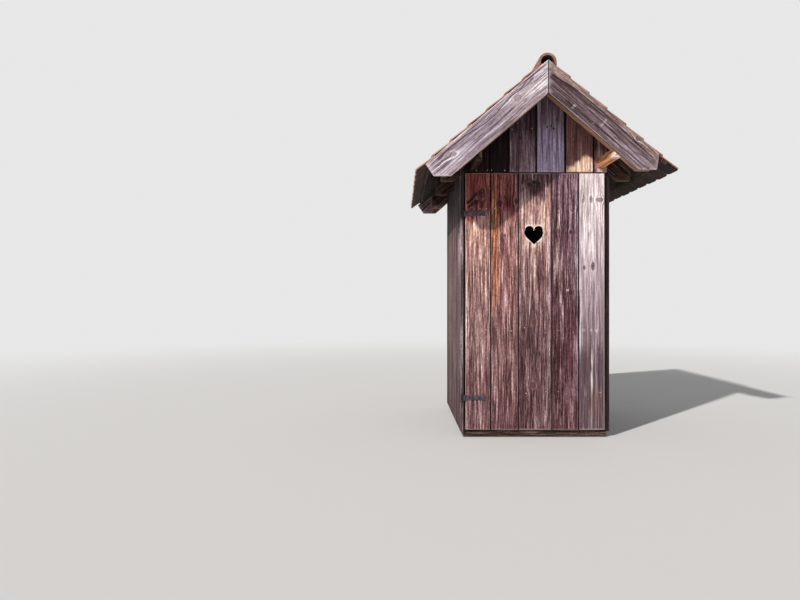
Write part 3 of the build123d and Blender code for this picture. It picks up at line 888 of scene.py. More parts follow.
# The top colour in each row is painted shade under the eaves.
silver, purple, reddish = [
    wall_timber(name, shift, dark, light, top, wild_knots=knots) for name, shift, dark, light, top, knots in (
        ("wall_silver", (0, 0, 0), (72, 50, 54), (176, 155, 160), (36, 24, 24), 0.050),
        ("wall_purple", (-18, -20, -14), (58, 37, 43), (148, 124, 131), (32, 21, 22), 0.060),
        ("wall_red", (-6, -14, -17), (66, 42, 41), (164, 134, 130), (36, 23, 22), 0.045),
    )
]
# The left wall's front board is pale in the middle and turns dark above 0.73 of its length: painted shade
# under the eave.
left_front = timber(
    "wall_front_left", WALL_LENGTH,
    [(0.0, (74, 58, 58)), (0.5, (112, 92, 95)), (0.66, (176, 154, 158)), (0.73, (44, 29, 33)),
     (1.0, (32, 20, 23))],
    (62, 44, 48), (214, 194, 198), worn=0.2,
)
# The right wall's front board is darker than the others as painted shade, and its mark paints shade along the
# front edge beside the door.
right_front = wall_timber(
    "wall_front_right", (-14, -16, -12), (60, 40, 44), (150, 126, 132), (32, 21, 22), wild_knots=0.05,
    worn=0.12, marks=[((-0.098, 1.0), (0.014, 1.4), (44, 32, 33), 1.0)],
)
for hand, front in (("left", left_front), ("right", right_front)):
    finishes = [front, purple, silver, reddish, silver, purple]
    dress("wall_" + hand, SIDE_ON, finishes, joints=(0, 1), **WALL_BOARDS)
dress("wall_back", UPRIGHT, [purple, silver, reddish], joints=(1, 1), **WALL_BOARDS)
dress("gable_back", UPRIGHT, [silver, reddish, purple], joints=(1, 1), **WALL_BOARDS)

# %% [markdown]
# ## Tongues in the joints
#
# Boards shrink, and a bare joint would let daylight through. The real hut is dark inside, seen through
# the heart, so a thin loose tongue closes each joint. Closing the boards up instead would lose the dark
# lines between them. A tongue is a narrow strip in the middle of the boards' thickness, a little wider
# than the gap, and it ends short of the boards' ends.

# %% Loose tongues
TONGUE_THICK = 0.004
TONGUE_BITE = 0.003
TONGUE_SHORT = 0.02
TONGUE_STEP = 0.12
tongue_timber = timber(
    "tongue_timber", 1.9, [(0.0, (46, 33, 31)), (1.0, (40, 29, 28))], (24, 16, 15), (78, 60, 54),
    contrast=0.8,
)


def board_spans(node, grain):
    """Each board of a node: its sides, its ends and the depth of its middle, in order across the grain."""
    along, side = grain
    source = open_solid(node)
    spans = []
    for group in boards_of(source):
        sides = [vertex.co.dot(side) for vertex in group]
        heights = [vertex.co.dot(along) for vertex in group]
        spans.append((min(sides), max(sides), min(heights), max(heights), board_zero(group, grain)[1]))
    source.free()
    return sorted(spans)


def close_joints(node, grain):
    """One strip in every gap between neighbouring boards of a node."""
    along, side = grain
    through = along.cross(side)
    spans = board_spans(node, grain)
    mesh = bmesh.new()
    grain_layer = mesh.verts.layers.float_vector.new("grain")
    for near, far in zip(spans, spans[1:]):
        low, high = max(near[2], far[2]) + TONGUE_SHORT, min(near[3], far[3]) - TONGUE_SHORT
        steps = max(2, round((high - low) / TONGUE_STEP))
        rings = []
        for step in range(steps + 1):
            height = low + (high - low) * step / steps
            bend = 0.0005 * math.sin(9.0 * height + 40.0 * near[1])
            ring = []
            for across, deep in ((0, -1), (1, -1), (1, 1), (0, 1)):
                reach = far[0] + TONGUE_BITE if across else near[1] - TONGUE_BITE
                lift = near[4] + deep * TONGUE_THICK / 2 + bend
                vertex = mesh.verts.new(side * reach + through * lift + along * height)
                vertex[grain_layer] = (reach - near[1], deep * TONGUE_THICK / 2, height - low)
                ring.append(vertex)
            rings.append(ring)
        close_tube(mesh, rings)
    bmesh.ops.recalc_face_normals(mesh, faces=mesh.faces)
    piece = make_piece(mesh, node + "_tongues", [tongue_timber], crease=None)
    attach(piece, body_of_node[node])


for hand in ("left", "right"):
    close_joints("wall_" + hand, SIDE_ON)
for node in ("wall_back", "gable_front", "gable_back"):
    close_joints(node, UPRIGHT)

# %% [markdown]
# ## The frame inside
#
# Posts, rails, sills and floor are dry and shaded, so they keep the brown of old pine. The sills and
# the floor are dirtier. All of them are plain sawn pieces with rounded arrises, so a few finishes and
# one short loop dress them all.

# %% Frame timber
FRAME_CELL = (0.045, 0.018)
SILLS = dict(cell=(0.045, 0.020), arris=0.004)
frame_timber = timber(
    "frame_timber", 1.8, [(0.0, (112, 82, 68)), (1.0, (132, 98, 80))], (78, 50, 40), (172, 138, 112),
    light_share=0.3, wild_knots=0.05,
)
sill_timber = timber(
    "sill_timber", 1.1, [(0.0, (84, 68, 60)), (1.0, (90, 72, 64))], (52, 38, 34), (128, 108, 96),
)
floor_timber = timber(
    "floor_timber", 0.9, [(0.0, (122, 98, 84)), (1.0, (116, 92, 78))], (80, 58, 48), (160, 136, 118),
    light_share=0.3, wild_knots=0.06,
)
post_timber = timber(
    "post_timber", 1.8, [(0.0, (70, 52, 48)), (1.0, (58, 40, 37))], (36, 23, 21), (116, 92, 82), contrast=0.8,
    wild_knots=0.05,
)
for hand in ("left", "right"):
    dress("post_front_" + hand, UPRIGHT, [post_timber], FRAME_CELL)
    dress("post_back_" + hand, UPRIGHT, [frame_timber], FRAME_CELL)
    dress("rails_" + hand, DEEP, [frame_timber], FRAME_CELL)
    dress("sill_" + hand, DEEP, [sill_timber], **SILLS)
for name in ("lintel_front", "header_back", "rail_back"):
    dress(name, ACROSS, [frame_timber], FRAME_CELL)
for name in ("sill_front", "sill_back"):
    dress(name, ACROSS, [sill_timber], **SILLS)
dress("floor_boards", (RIGHT, BACK), [floor_timber], cell=(0.040, 0.020))

# %% [markdown]
# ## Roof timbers
#
# The rafters, purlins and roof boards are seen from below. Deep in the eaves the inner rafters, the roof
# boards and the left purlin are nearly black, which is painted shade. The outer rafters are a warm brown
# that darkens towards the ridge, and the right purlin, whose side faces the light, is a warm brown too.
# Each rafter is a board of the same solid, so a list of finishes tells them apart.

# %% Rafters, purlins and roof boards
outer_rafter = timber(
    "rafter_outer", 1.1,
    [(0.0, (160, 122, 100)), (0.5, (176, 128, 96)), (0.76, (120, 84, 64)), (0.86, (56, 38, 32))],
    (92, 58, 42), (206, 166, 130), contrast=0.7, dark_share=0.4, light_share=0.3,
)
# The inner rafters are dark as painted shade deep in the eaves.
inner_rafter = timber(
    "rafter_inner", 1.0, [(0.0, (74, 54, 47)), (1.0, (94, 69, 56))], (43, 30, 26), (131, 102, 83),
    light_share=0.3, wild_knots=0.05,
)
purlin_right = timber(
    "purlin_right", 1.68,
    [(0.0, (250, 226, 222)), (0.008, (244, 212, 204)), (0.03, (208, 148, 104)), (0.3, (188, 126, 82)),
     (1.0, (120, 84, 62))],
    (132, 80, 48), (226, 180, 142), contrast=0.5, dark_share=0.3, light_share=0.3,
)
# The left purlin is dark as painted shade, apart from its paler end.
purlin_left = timber(
    "purlin_left", 1.68,
    [(0.0, (120, 98, 92)), (0.012, (84, 62, 54)), (0.04, (46, 33, 30)), (1.0, (72, 52, 44))],
    (28, 18, 17), (104, 80, 68), contrast=0.7, light_share=0.3,
)
# The roof boards are dark as painted shade under the roof.
deck_timber = timber(
    "deck_timber", 1.7, [(0.0, (68, 56, 51)), (1.0, (64, 52, 46))], (36, 27, 25), (105, 89, 78),
    light_share=0.3, wild_knots=0.055,
)
rafter_finishes = [outer_rafter, inner_rafter, inner_rafter, inner_rafter, outer_rafter]
for hand, slope, purlin in (("left", LEFT_SLOPE, purlin_left), ("right", RIGHT_SLOPE, purlin_right)):
    dress("rafters_" + hand, slope, rafter_finishes, FRAME_CELL)
    dress("purlin_" + hand, DEEP, [purlin], cell=(0.040, 0.012))
    dress("deck_" + hand, (BACK, slope[0]), [deck_timber], cell=(0.060, 0.020), arris=0.0015)

# %% [markdown]
# ## Barge boards
#
# The two boards that close the roof's ends take all the weather. The left one faces the sun and has
# gone pinkish silver, with a dark check that wanders along its upper part. The right one is
# purple-brown under a longer check, with a browner strip above it. Nothing is known of the back pair,
# so it is the front pair seen in a mirror.

# %% Barge boards
BARGE_LENGTH = 1.18
LEFT_CHECK = [(-0.009, 2.560), (-0.078, 2.506), (-0.148, 2.446), (-0.183, 2.397), (-0.253, 2.342),
              (-0.372, 2.209), (-0.463, 2.139), (-0.533, 2.097), (-0.650, 2.010), (-0.790, 1.880)]
RIGHT_CHECK = [(0.004, 2.509), (0.063, 2.467), (0.154, 2.411), (0.224, 2.356), (0.294, 2.300),
               (0.364, 2.237), (0.434, 2.174), (0.504, 2.111), (0.580, 2.041), (0.700, 1.925)]
sunny = dict(
    tones=[(0.0, (200, 186, 196)), (0.3, (140, 123, 135)), (0.5, (156, 140, 149)), (0.72, (192, 176, 182)),
           (1.0, (208, 194, 202))],
    dark=(120, 98, 112), light=(228, 214, 219), contrast=0.55, dark_share=0.35, light_share=0.3,
    knots=[((-0.205, 2.336), (0.016, 0.022), (158, 138, 144)),
           ((-0.155, 2.321), (0.009, 0.012), (146, 124, 130)),
           ((-0.665, 1.957), (0.013, 0.018), (150, 130, 138)),
           ((-0.623, 1.964), (0.009, 0.012), (140, 118, 124))],
    marks=[((-0.2, 2.33), (0.03, 0.05), (228, 218, 220), 0.45),
           ((-0.64, 1.96), (0.03, 0.05), (226, 216, 220), 0.4),
           ((-0.45, 2.02), (0.01, 0.22), (150, 130, 140), 0.5),
           ((-0.3, 2.2), (0.006, 0.2), (120, 98, 110), 0.5),
           ((-0.55, 1.9), (0.007, 0.14), (214, 202, 206), 0.6)],
    check=(LEFT_CHECK, 0.0065, (74, 54, 74), 0.85, (184, 170, 186), 0.35),
)
shaded = dict(
    tones=[(0.0, (146, 128, 138)), (0.3, (122, 104, 111)), (0.75, (98, 80, 85)), (0.92, (118, 92, 94)),
           (1.0, (158, 128, 124))],
    dark=(64, 46, 52), light=(190, 170, 172), contrast=0.7, dark_share=0.4, light_share=0.35,
    knots=[((0.596, 2.066), (0.012, 0.014), (92, 74, 80))],
    marks=[((0.168, 2.279), (0.021, 0.011), (208, 194, 196), 0.8),
           ((0.357, 2.16), (0.019, 0.009), (192, 174, 174), 0.7),
           ((0.381, 2.188), (0.011, 0.006), (196, 180, 180), 0.6),
           ((0.297, 2.167), (0.007, 0.006), (184, 166, 168), 0.7),
           ((0.601, 2.069), (0.02, 0.026), (216, 202, 208), 0.7),
           ((0.24, 2.245), (0.006, 0.16), (150, 126, 130), 0.6),
           ((0.18, 2.245), (0.012, 0.1), (70, 50, 56), 0.5),
           ((0.56, 1.98), (0.02, 0.14), (146, 130, 140), 0.5)],
    check=(RIGHT_CHECK, 0.0055, (40, 26, 30), 0.95, (160, 137, 131), 0.8),
)


def barge_board(end, hand, slope, mirror, name, tones, dark, light, knots, marks, check, **more):
    """One barge board. Knots, marks and check have places in the front view, mirrored for the back."""
    node = "barge_%s_%s" % (end, hand)

    def placed(entries):
        return on_board(node, slope, [((mirror * x, z), *rest) for (x, z), *rest in entries])

    points = [place for place, in placed([(point,) for point in check[0]])]
    finish = timber(name, BARGE_LENGTH, tones, dark, light, knots=placed(knots), marks=placed(marks),
                    checks=[(points, *check[1:])], worn=0.55, **more)
    dress(node, slope, [finish], cell=(0.040, 0.0055), arris=0.0026, wear=0.0009, ridge=0.0006, seam=0.0032)


for end, mirror in (("front", 1), ("back", -1)):
    sides = [("left", LEFT_SLOPE), ("right", RIGHT_SLOPE)][::mirror]
    for (hand, slope), (kind, look) in zip(sides, (("sunny", sunny), ("shaded", shaded))):
        barge_board(end, hand, slope, mirror, "barge_%s_%s" % (kind, end), **look)


# %% [markdown]
# ## Clay
#
# Hand-pressed plain tiles are never one colour: the kiln leaves each a little lighter or darker, and
# moss and lichen settle in the laps. A finish for each tile would be far too many, so each tile
# carries a random number that shifts its colour, and noise adds scorch marks, grit and grey lichen.

# %% Clay recipe
def fired_clay(name, body, scorched, pale, lichen, lichen_share):
    """Clay with scorch marks, grit and lichen, and a little paler along its worn edges."""
    clay = Finish(bpy.data.materials.new(name))
    place = clay.node("TexCoord", {}, "Object")
    seed = clay.attribute("seed")
    cloud = clay.noise(place, 9.0, octaves=3.0, seed=seed * SEED_STEP)
    grit = clay.noise(place, 380.0)
    spots = clay.noise(place, 46.0, octaves=4.0, seed=2.0, roughness=0.65)
    clay.colour = clay.mix(cloud.between(0.35, 0.65), paint(*body), paint(*pale))
    clay.lay(seed.between(0.55, 1.0, 0.0, 0.75), scorched)
    clay.lay(grit.between(0.55, 0.75, 0.0, 0.3), scorched)
    growth = (spots + cloud * 0.25).between(0.74 - lichen_share, 0.80 - lichen_share)
    clay.lay(growth, lichen)
    clay.lay(clay.attribute("arris") * 0.35, pale)
    height = grit * 0.4 + spots * 0.8 + growth * 0.4
    return clay.close(grit.between(0.3, 0.7, 0.78, 0.95), height, depth=0.0015, strength=0.7)


tile_clay = fired_clay("tile_clay", (164, 100, 78), (118, 76, 62), (198, 142, 112), (142, 138, 112), 0.06)
ridge_clay = fired_clay("ridge_clay", (126, 85, 67), (92, 60, 49), (150, 110, 88), (152, 136, 112), 0.09)
# The clay under the roof, on the tiles' undersides and inside the ridge tiles, is dark as painted shade.
shaded_clay = fired_clay("clay_painted_shade_under_roof", (54, 41, 36), (32, 23, 21), (74, 57, 48), (60, 56, 46), 0.02)
print("Clays:", tile_clay.name, ridge_clay.name, shaded_clay.name)


# %% [markdown]
# ## Roof tiles
#
# Seven courses lie on each slope, and every course laps the one below by its thickness, which gives
# the saw-tooth verge. A real roof breaks the joints, so every second course starts with half a tile.
# One tile could be copied with array modifiers, but no tiler lays them perfectly. So each tile is
# drawn by itself: a slab with a slightly crowned top and rounded lower corners, nudged and turned a
# little at random.

# %% Places on the roof
COURSES = 7
TILES_WIDE = 10
TILE_HEAD = 0.030
TILE_EAVE = 0.886
TILE_LIFT = 0.012
tile_box_low, tile_box_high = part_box("tiles_left")
roof_front, roof_back = tile_box_low.y, tile_box_high.y
tile_width = (roof_back - roof_front) / TILES_WIDE
deck_apex = tile_box_high.z + TILE_HEAD * math.tan(PITCH) - TILE_LIFT * math.cos(PITCH)
slope_head = TILE_HEAD / math.cos(PITCH)
slope_eave = TILE_EAVE / math.cos(PITCH)
eave_trim = 2 * TILE_LIFT * math.tan(PITCH)
course = (slope_eave - slope_head) / COURSES
print("Roof boards meet at", round(deck_apex, 4), "m; a course shows", round(course * 1000), "mm")


def on_slope(side, distance, lift, y):
    """A point on a roof slope: how far down it, how far off the boards, and how far back."""
    x = distance * math.cos(PITCH) + lift * math.sin(PITCH)
    z = deck_apex - distance * math.sin(PITCH) + lift * math.cos(PITCH)
    return Vector((side * x, y, z))


# %% One plain tile
ROWS, COLUMNS = 6, 6
TILE_THICK = 0.0114
TILE_CORNER = 0.010
TILE_CROWN = 0.0010
TILE_BED = 0.0004
TOP_DROP = 0.0015
EDGE_DROP = 0.0016


def tile_point(side, y0, y1, head, tail, row, column, slip, twist, rise):
    """The points of a tile's top and underside at one row and column of its grid."""
    share, part = row / ROWS, column / COLUMNS
    edge = min(part, 1 - part) * (y1 - y0)
    pull = 0.0
    if row == ROWS and edge < TILE_CORNER:
        pull = TILE_CORNER - math.sqrt(max(0.0, TILE_CORNER ** 2 - (TILE_CORNER - edge) ** 2))
    distance = head + (tail - head) * share - pull + (slip + twist * (part - 0.5)) * share
    y = y0 + (y1 - y0) * part
    bumps = noise.noise(on_slope(side, distance, 0.0, y) * 18)
    crown = TILE_CROWN * (0.5 - (2 * part - 1) ** 2 + 0.5 * bumps)
    worn = EDGE_DROP if row == ROWS or column in (0, COLUMNS) else 0.0
    under = TILE_BED + TILE_LIFT * share + rise
    top = under + TILE_THICK - TOP_DROP + crown - worn
    return on_slope(side, distance, top, y), on_slope(side, distance, under, y)


def rim_of(rows):
    """The points round the outside of a grid, in order."""
    return rows[0] + [row[-1] for row in rows[1:]] + rows[-1][-2::-1] + [row[0] for row in rows[-2:0:-1]]


def add_tile(mesh, side, y0, y1, head, tail, chance):
    """One tile from its head up the slope to its tail. Returns its upper and its lower rows of points."""
    twist = chance.uniform(-0.0012, 0.0012)
    slip = chance.uniform(-0.004, 0.0)
    rise = chance.uniform(-0.0004, 0.0002)
    top, under = [], []
    for row in range(ROWS + 1):
        points = [tile_point(side, y0, y1, head, tail, row, column, slip, twist, rise)
                  for column in range(COLUMNS + 1)]
        top.append([mesh.verts.new(high) for high, _ in points])
        under.append([mesh.verts.new(low) for _, low in points])
    for rows, clay in ((top, 0), (under, 1)):
        for near, far in zip(rows, rows[1:]):
            for corners in zip(near, near[1:], far[1:], far):
                mesh.faces.new(corners if clay == 0 else corners[::-1]).material_index = clay
    skin(mesh, rim_of(under), rim_of(top))
    return top, under


# %% All the tiles
TILE_GAP = 0.0025
HEAD_LAP = 0.020
CLAY_CREASE = 40


def lay_tiles(hand, side):
    """All the tiles of one slope, as one piece."""
    chance = random.Random("tiles " + hand)
    mesh = bmesh.new()
    seed_layer = mesh.verts.layers.float.new("seed")
    arris_layer = mesh.verts.layers.float.new("arris")
    for index in range(COURSES):
        head = slope_head + index * course - (HEAD_LAP if index else 0.0)
        tail = slope_head + (index + 1) * course
        if index == COURSES - 1:
            tail = slope_eave - eave_trim
        first = roof_front + (index % 2) * tile_width / 2
        inner = [first + number * tile_width for number in range(TILES_WIDE + 1)]
        inner = [y for y in inner if roof_front + 0.01 < y < roof_back - 0.01]
        edges = [roof_front] + inner + [roof_back]
        for y0, y1 in zip(edges, edges[1:]):
            left = y0 + (TILE_GAP / 2 if y0 > roof_front else 0.0)
            right = y1 - (TILE_GAP / 2 if y1 < roof_back else 0.0)
            top, under = add_tile(mesh, side, left, right, head, tail, chance)
            seed = chance.random()
            for vertex in sum(top + under, []):
                vertex[seed_layer] = seed
            for vertex in top[-1] + under[-1]:
                vertex[arris_layer] = 1.0
        print("course", index + 1, "has", len(edges) - 1, "tiles")
    bmesh.ops.recalc_face_normals(mesh, faces=mesh.faces)
    node = "tiles_" + hand
    # The underside of every tile takes the dark clay, which is painted shade.
    stand_for(make_piece(mesh, node + "_laid", [tile_clay, shaded_clay], CLAY_CREASE), node)


lay_tiles("left", -1)
lay_tiles("right", 1)

# %% [markdown]
# ## Ridge tiles
#
# Five half-round tiles cap the ridge. Each is a swept arch with straight legs that stand on the top
# courses. The arch is drawn with many short sides, and its ends are softened, because the open end
# over the gable is the first thing seen against the sky.

# %% The arch of a ridge tile
RIDGE_RADIUS = 0.062
RIDGE_WALL = 0.020
ARCH_SIDES = 28
END_ROUNDING = 0.0022
ridge_low, ridge_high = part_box("ridge_tiles")
ridge_centre = ridge_high.z - RIDGE_RADIUS
hollow_radius = RIDGE_RADIUS - RIDGE_WALL
ridge_points = [vertex.co for vertex in frame["nodes"]["ridge_tiles"].data.vertices]
outer_foot = min(point.z for point in ridge_points if abs(point.x) > RIDGE_RADIUS - SAME)
inner_foot = min(point.z for point in ridge_points if abs(point.x) < hollow_radius + SAME)
print("Ridge tile feet at", round(outer_foot, 4), round(inner_foot, 4))


def arch(radius, foot):
    """An arch from left to right, standing on two straight legs."""
    turns = [math.pi * (1 - index / ARCH_SIDES) for index in range(ARCH_SIDES + 1)]
    arc = [(radius * math.cos(turn), ridge_centre + radius * math.sin(turn)) for turn in turns]
    return [(-radius, foot)] + arc + [(radius, foot)]


def ridge_ring(mesh, y, tight, shift):
    """The points round a tile's wall at one depth: over the outside and back along the inside."""
    ring = []
    outside, hollow = arch(RIDGE_RADIUS - tight, outer_foot), arch(hollow_radius + tight, inner_foot)
    for sign, shape in ((1, outside), (-1, hollow[::-1])):
        for x, z in shape:
            place = Vector((x, y, z))
            bump = noise.noise(place * 22 + shift)
            out = Vector((x, 0, max(0.0, z - ridge_centre))).normalized()
            ring.append(mesh.verts.new(place - out * sign * 0.0012 * (0.5 + 0.5 * bump)))
    return ring


# %% Half-round ridge tiles
RIDGE_COUNT = 5
RIDGE_GAP = 0.002
RIDGE_STEPS = 14
RIDGE_END = 0.003
ridge_length = (ridge_high.y - ridge_low.y - (RIDGE_COUNT - 1) * RIDGE_GAP) / RIDGE_COUNT
chance = random.Random("ridge")
mesh = bmesh.new()
seed_layer = mesh.verts.layers.float.new("seed")
arris_layer = mesh.verts.layers.float.new("arris")
for number in range(RIDGE_COUNT):
    start = ridge_low.y + number * (ridge_length + RIDGE_GAP)
    seed = chance.random() * 0.7
    depths = [0.0, RIDGE_END] + [ridge_length * step / RIDGE_STEPS for step in range(1, RIDGE_STEPS)]
    depths += [ridge_length - RIDGE_END, ridge_length]
    rings = []
    for depth in depths:
        tight = END_ROUNDING if depth in (depths[0], depths[-1]) else 0.0
        rings.append(ridge_ring(mesh, start + depth, tight, Vector((number * 7.0, 0, 0))))
        for vertex in rings[-1]:
            vertex[seed_layer] = seed
            vertex[arris_layer] = 1.0 if tight else 0.0
    half = len(rings[0]) // 2
    # The inside of each ridge tile takes the dark clay, which is painted shade.
    for near, far in zip(rings, rings[1:]):
        for face in skin(mesh, near, far)[half - 1:]:
            face.material_index = 1
    for ring in (rings[0], rings[-1]):
        outside, back = ring[:half], ring[:half - 1:-1]
        for corners in zip(outside, outside[1:], back[1:], back):
            mesh.faces.new(corners)
bmesh.ops.recalc_face_normals(mesh, faces=mesh.faces)
stand_for(make_piece(mesh, "ridge_tiles_laid", [ridge_clay, shaded_clay], CLAY_CREASE), "ridge_tiles")
print("ridge tiles", RIDGE_COUNT, "each", round(ridge_length, 3), "m")


# %% [markdown]
# ## Hinge steel
#
# The strap hinges are forged and have turned a dull blue-grey, with rust where water sits. A single
# grey would look like plastic, so the steel gets an uneven roughness, a hammered relief and arrises
# that are rubbed brighter.

# %% Steel recipe
def forged_steel(name, body, rust, rust_share, rough, worn=(140, 132, 148)):
    """Steel with hammer dents and rust, and rubbed brighter along its arrises."""
    steel = Finish(bpy.data.materials.new(name))
    place = steel.node("TexCoord", {}, "Object")
    dents = steel.noise(place, 60.0)
    grain = steel.noise(place, 500.0, octaves=3.0)
    cloud = steel.noise(place, 38.0, octaves=4.0, seed=6.0, roughness=0.7)
    deep = paint(*[channel * 0.45 for channel in body])
    steel.colour = steel.mix(dents.between(0.35, 0.65, 0.0, 0.85), paint(*body), deep)
    stain = (cloud + grain * 0.2).between(0.72 - rust_share, 0.82 - rust_share)
    steel.lay(stain, rust)
    steel.lay(steel.attribute("arris") * cloud.between(0.35, 0.6) * 0.8, worn)
    steel.shader.inputs["Metallic"].default_value = 0.35
    roughness = grain.between(0.3, 0.7, rough - 0.08, rough + 0.08) + stain * 0.25
    return steel.close(roughness, dents + grain * 0.15, depth=0.0012, strength=0.6)


strap_steel = forged_steel("strap_steel", (84, 74, 92), (92, 60, 54), 0.06, 0.5)
# The pintles' steel is darker than the straps' and more rusted: painted shade on the wall's edge under the
# eave, and real rust.
pintle_steel = forged_steel("pintle_steel", (50, 44, 52), (62, 42, 38), 0.14, 0.6, (78, 72, 82))
nail_steel = forged_steel("nail_steel", (202, 188, 188), (150, 108, 88), 0.06, 0.45)

# %% Straps and pintles
FORGED_SHARP = math.radians(50)
FORGED_ARRIS = 0.0009
FORGED_CELL = (0.010, 0.006)
FORGED_INSET = 0.004
FORGED_CREASE = 35
for name, steel in (("strap_lower", strap_steel), ("strap_upper", strap_steel),
                    ("pintle_lower", pintle_steel), ("pintle_upper", pintle_steel)):
    mesh = open_solid(name)
    cut_arrises(mesh, sharp_edges(mesh, FORGED_SHARP), FORGED_ARRIS, profile=0.5)
    slice_up(mesh, RIGHT, FORGED_CELL[0], FORGED_INSET)
    slice_up(mesh, UP, FORGED_CELL[1], FORGED_INSET)
    arris_layer = mesh.verts.layers.float.new("arris")
    for vertex in mesh.verts:
        vertex[arris_layer] = 1.0 if turn_at(vertex) > SHARP else 0.0
    stand_for(make_piece(mesh, name + "_forged", [steel], FORGED_CREASE), name)


# %% [markdown]
# ## Nails
#
# Nails hold the planks to the ledges and the boards to the frame. Only their heads show: low domes
# about eight millimetres wide, driven not quite straight. They are too fine for the solids, so they
# are added here, in one piece for each body that they ride on.

# %% Nail heads
NAIL_RADIUS = 0.0042
NAIL_RISE = 0.0016
NAIL_SIDES = 12
NAIL_PROFILE = ((1.0, -0.6), (1.0, 0.35), (0.82, 0.75), (0.42, 0.97))
NAIL_TILT = 0.12
FRONT = Vector((0, -1, 0))
SMOOTH = 180


def nail_heads(name, body, finish, places, size=1.0):
    """Domed heads on faces that look forward, in one piece."""
    chance = random.Random(name)
    mesh = bmesh.new()
    for place in places:
        out = FRONT + Vector([chance.uniform(-NAIL_TILT, NAIL_TILT) for _ in range(3)])
        turn = out.normalized().to_track_quat("Z", "X").to_matrix().to_4x4()
        stand = Matrix.Translation(Vector(place)) @ turn
        spread = NAIL_RADIUS * size * chance.uniform(0.85, 1.15)
        rings = []
        for radius, height in NAIL_PROFILE:
            ring = []
            for index in range(NAIL_SIDES):
                angle = math.tau * index / NAIL_SIDES
                flat = (spread * radius * math.cos(angle), spread * radius * math.sin(angle))
                ring.append(mesh.verts.new(stand @ Vector((*flat, NAIL_RISE * height * size))))
            rings.append(ring)
        close_tube(mesh, rings)
    piece = make_piece(mesh, name, [finish], SMOOTH)
    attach(piece, body)


# %% Nails in the door and the gable
door_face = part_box("door_plank_1")[0].y
door_spots = [(x, door_face, z) for x, z in (
    (-0.474, 1.6655), (-0.445, 1.653), (-0.409, 1.657), (-0.361, 1.656), (-0.302, 1.657), (-0.216, 1.660),
    (0.298, 1.627), (0.289, 1.664), (0.454, 1.623), (0.461, 0.328), (0.396, 0.779),
)]
chance = random.Random("door nails")
for z, planks in ((0.331, (1, 2, 3, 4)), (0.779, (1, 2, 3, 4, 5)), (1.640, (3, 4))):
    for number in planks:
        low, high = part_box("door_plank_%d" % number)
        for share in (0.2, 0.78):
            x = low.x + (high.x - low.x) * share + chance.uniform(-0.012, 0.012)
            door_spots.append((x, door_face, z + chance.uniform(-0.022, 0.022)))
nail_heads("door_nails", "door", nail_steel, door_spots)

gable_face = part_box("gable_front")[0].y
nail_heads("gable_nails", "root", nail_steel, [(x, gable_face, z) for x, z in (
    (-0.432, 1.934), (-0.353, 1.934), (-0.323, 1.934), (-0.229, 1.934), (-0.170, 1.936), (-0.03, 1.935),
    (0.04, 1.935), (0.18, 1.934), (0.25, 1.935), (0.38, 1.934), (0.46, 1.934),
    (-0.176, 2.231), (-0.029, 2.236), (0.031, 2.234), (-0.136, 2.276), (0.16, 2.22), (0.27, 2.16),
)])

# %% Rivets in the hinges
STRAP_RIVETS = ((-0.468, 0.006), (-0.430, -0.005), (-0.386, 0.0))
PLATE_RIVET_X = -0.5445
PLATE_RIVET_RISE = 0.012
STEEL_THICK = 0.0038
plate_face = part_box("wall_left")[0].y - STEEL_THICK
strap_spots, plate_spots = [], []
for place in ("lower", "upper"):
    low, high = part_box("strap_" + place)
    middle = (low.z + high.z) / 2
    strap_spots += [(x, door_face - STEEL_THICK, middle + rise) for x, rise in STRAP_RIVETS]
    for rise in (-PLATE_RIVET_RISE, PLATE_RIVET_RISE):
        plate_spots.append((PLATE_RIVET_X, plate_face, middle + rise))
nail_heads("strap_rivets", "door", strap_steel, strap_spots, 1.2)
nail_heads("plate_rivets", "root", pintle_steel, plate_spots)

# %% [markdown]
# ## Studio
#
# The hut stands on a plain pale floor under daylight: one lamp from the upper left, where the sun
# stood, and a pale sky for the shadows. The far floor fades into the sky's colour, so that no
# horizon cuts through the picture.

# %% Floor
BACKGROUND = (0.80, 0.80, 0.80, 1.0)
FLOOR_COLOUR = (0.72, 0.72, 0.72, 1.0)
FLOOR_RADIUS = 60.0
FLOOR_FADE = (3.5, 11.0)

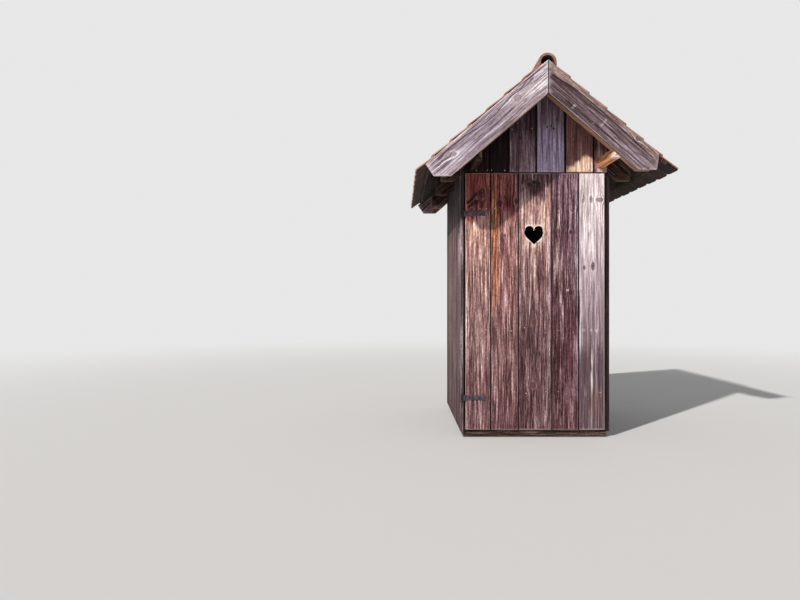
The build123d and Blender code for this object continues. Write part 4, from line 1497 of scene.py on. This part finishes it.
bpy.ops.mesh.primitive_circle_add(vertices=96, radius=FLOOR_RADIUS, fill_type="NGON")
floor = bpy.context.active_object
floor.name = "studio_floor"
ground = Finish(bpy.data.materials.new("floor_paint"))
ground.shader.inputs["Base Color"].default_value = FLOOR_COLOUR
ground.shader.inputs["Roughness"].default_value = 0.9
far = ground.vector("LENGTH", ground.node("TexCoord", {}, "Object")).between(*FLOOR_FADE)
glow = ground.node("Emission", {"Color": BACKGROUND, "Strength": 1.0})
blend = ground.node("MixShader", {0: far, 1: Value(ground, ground.shader.outputs[0]), 2: glow})
ground.feed(ground.nodes["Material Output"].inputs["Surface"], blend)
floor.data.materials.append(ground.owner)
print("Floor radius", FLOOR_RADIUS, "m, fading from", FLOOR_FADE[0], "to", FLOOR_FADE[1], "m")

# %% Sky and lamp
SKY_LEVEL = 0.30
SUN_LEVEL = 3.6
SUN_ANGLE = 1.5
SUN_COLOUR = (1.0, 0.965, 0.92)
SUN_TRAVEL = Vector((0.602, 0.596, -0.531))

sky = Finish(bpy.data.worlds.new("pale_sky"))
scene.world = sky.owner
daylight = sky.nodes["Background"]
daylight.inputs["Color"].default_value = (1.0, 1.0, 1.0, 1.0)
daylight.inputs["Strength"].default_value = SKY_LEVEL
backdrop = sky.node("Background", {"Color": BACKGROUND})
camera_ray = sky.node("LightPath", {}, "Is Camera Ray")
direct = sky.math("MAXIMUM", camera_ray, camera_ray.beside("Is Glossy Ray"))
choice = sky.node("MixShader", {0: direct, 1: Value(sky, daylight.outputs[0]), 2: backdrop})
sky.feed(sky.nodes["World Output"].inputs["Surface"], choice)

sun_data = bpy.data.lights.new("sun_lamp", "SUN")
sun_data.energy = SUN_LEVEL
sun_data.angle = math.radians(SUN_ANGLE)
sun_data.color = SUN_COLOUR
sun = bpy.data.objects.new("sun_lamp", sun_data)
sun.rotation_euler = SUN_TRAVEL.to_track_quat("-Z", "Y").to_euler()
scene.collection.objects.link(sun)
print("Lamp level", SUN_LEVEL, "sky level", SKY_LEVEL)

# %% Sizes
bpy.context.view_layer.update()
shown = [piece for piece in scene.objects if piece.type == "MESH" and not piece.hide_render]
print("Triangles in all the pieces and the floor:", sum(triangles_in(piece.data) for piece in shown))
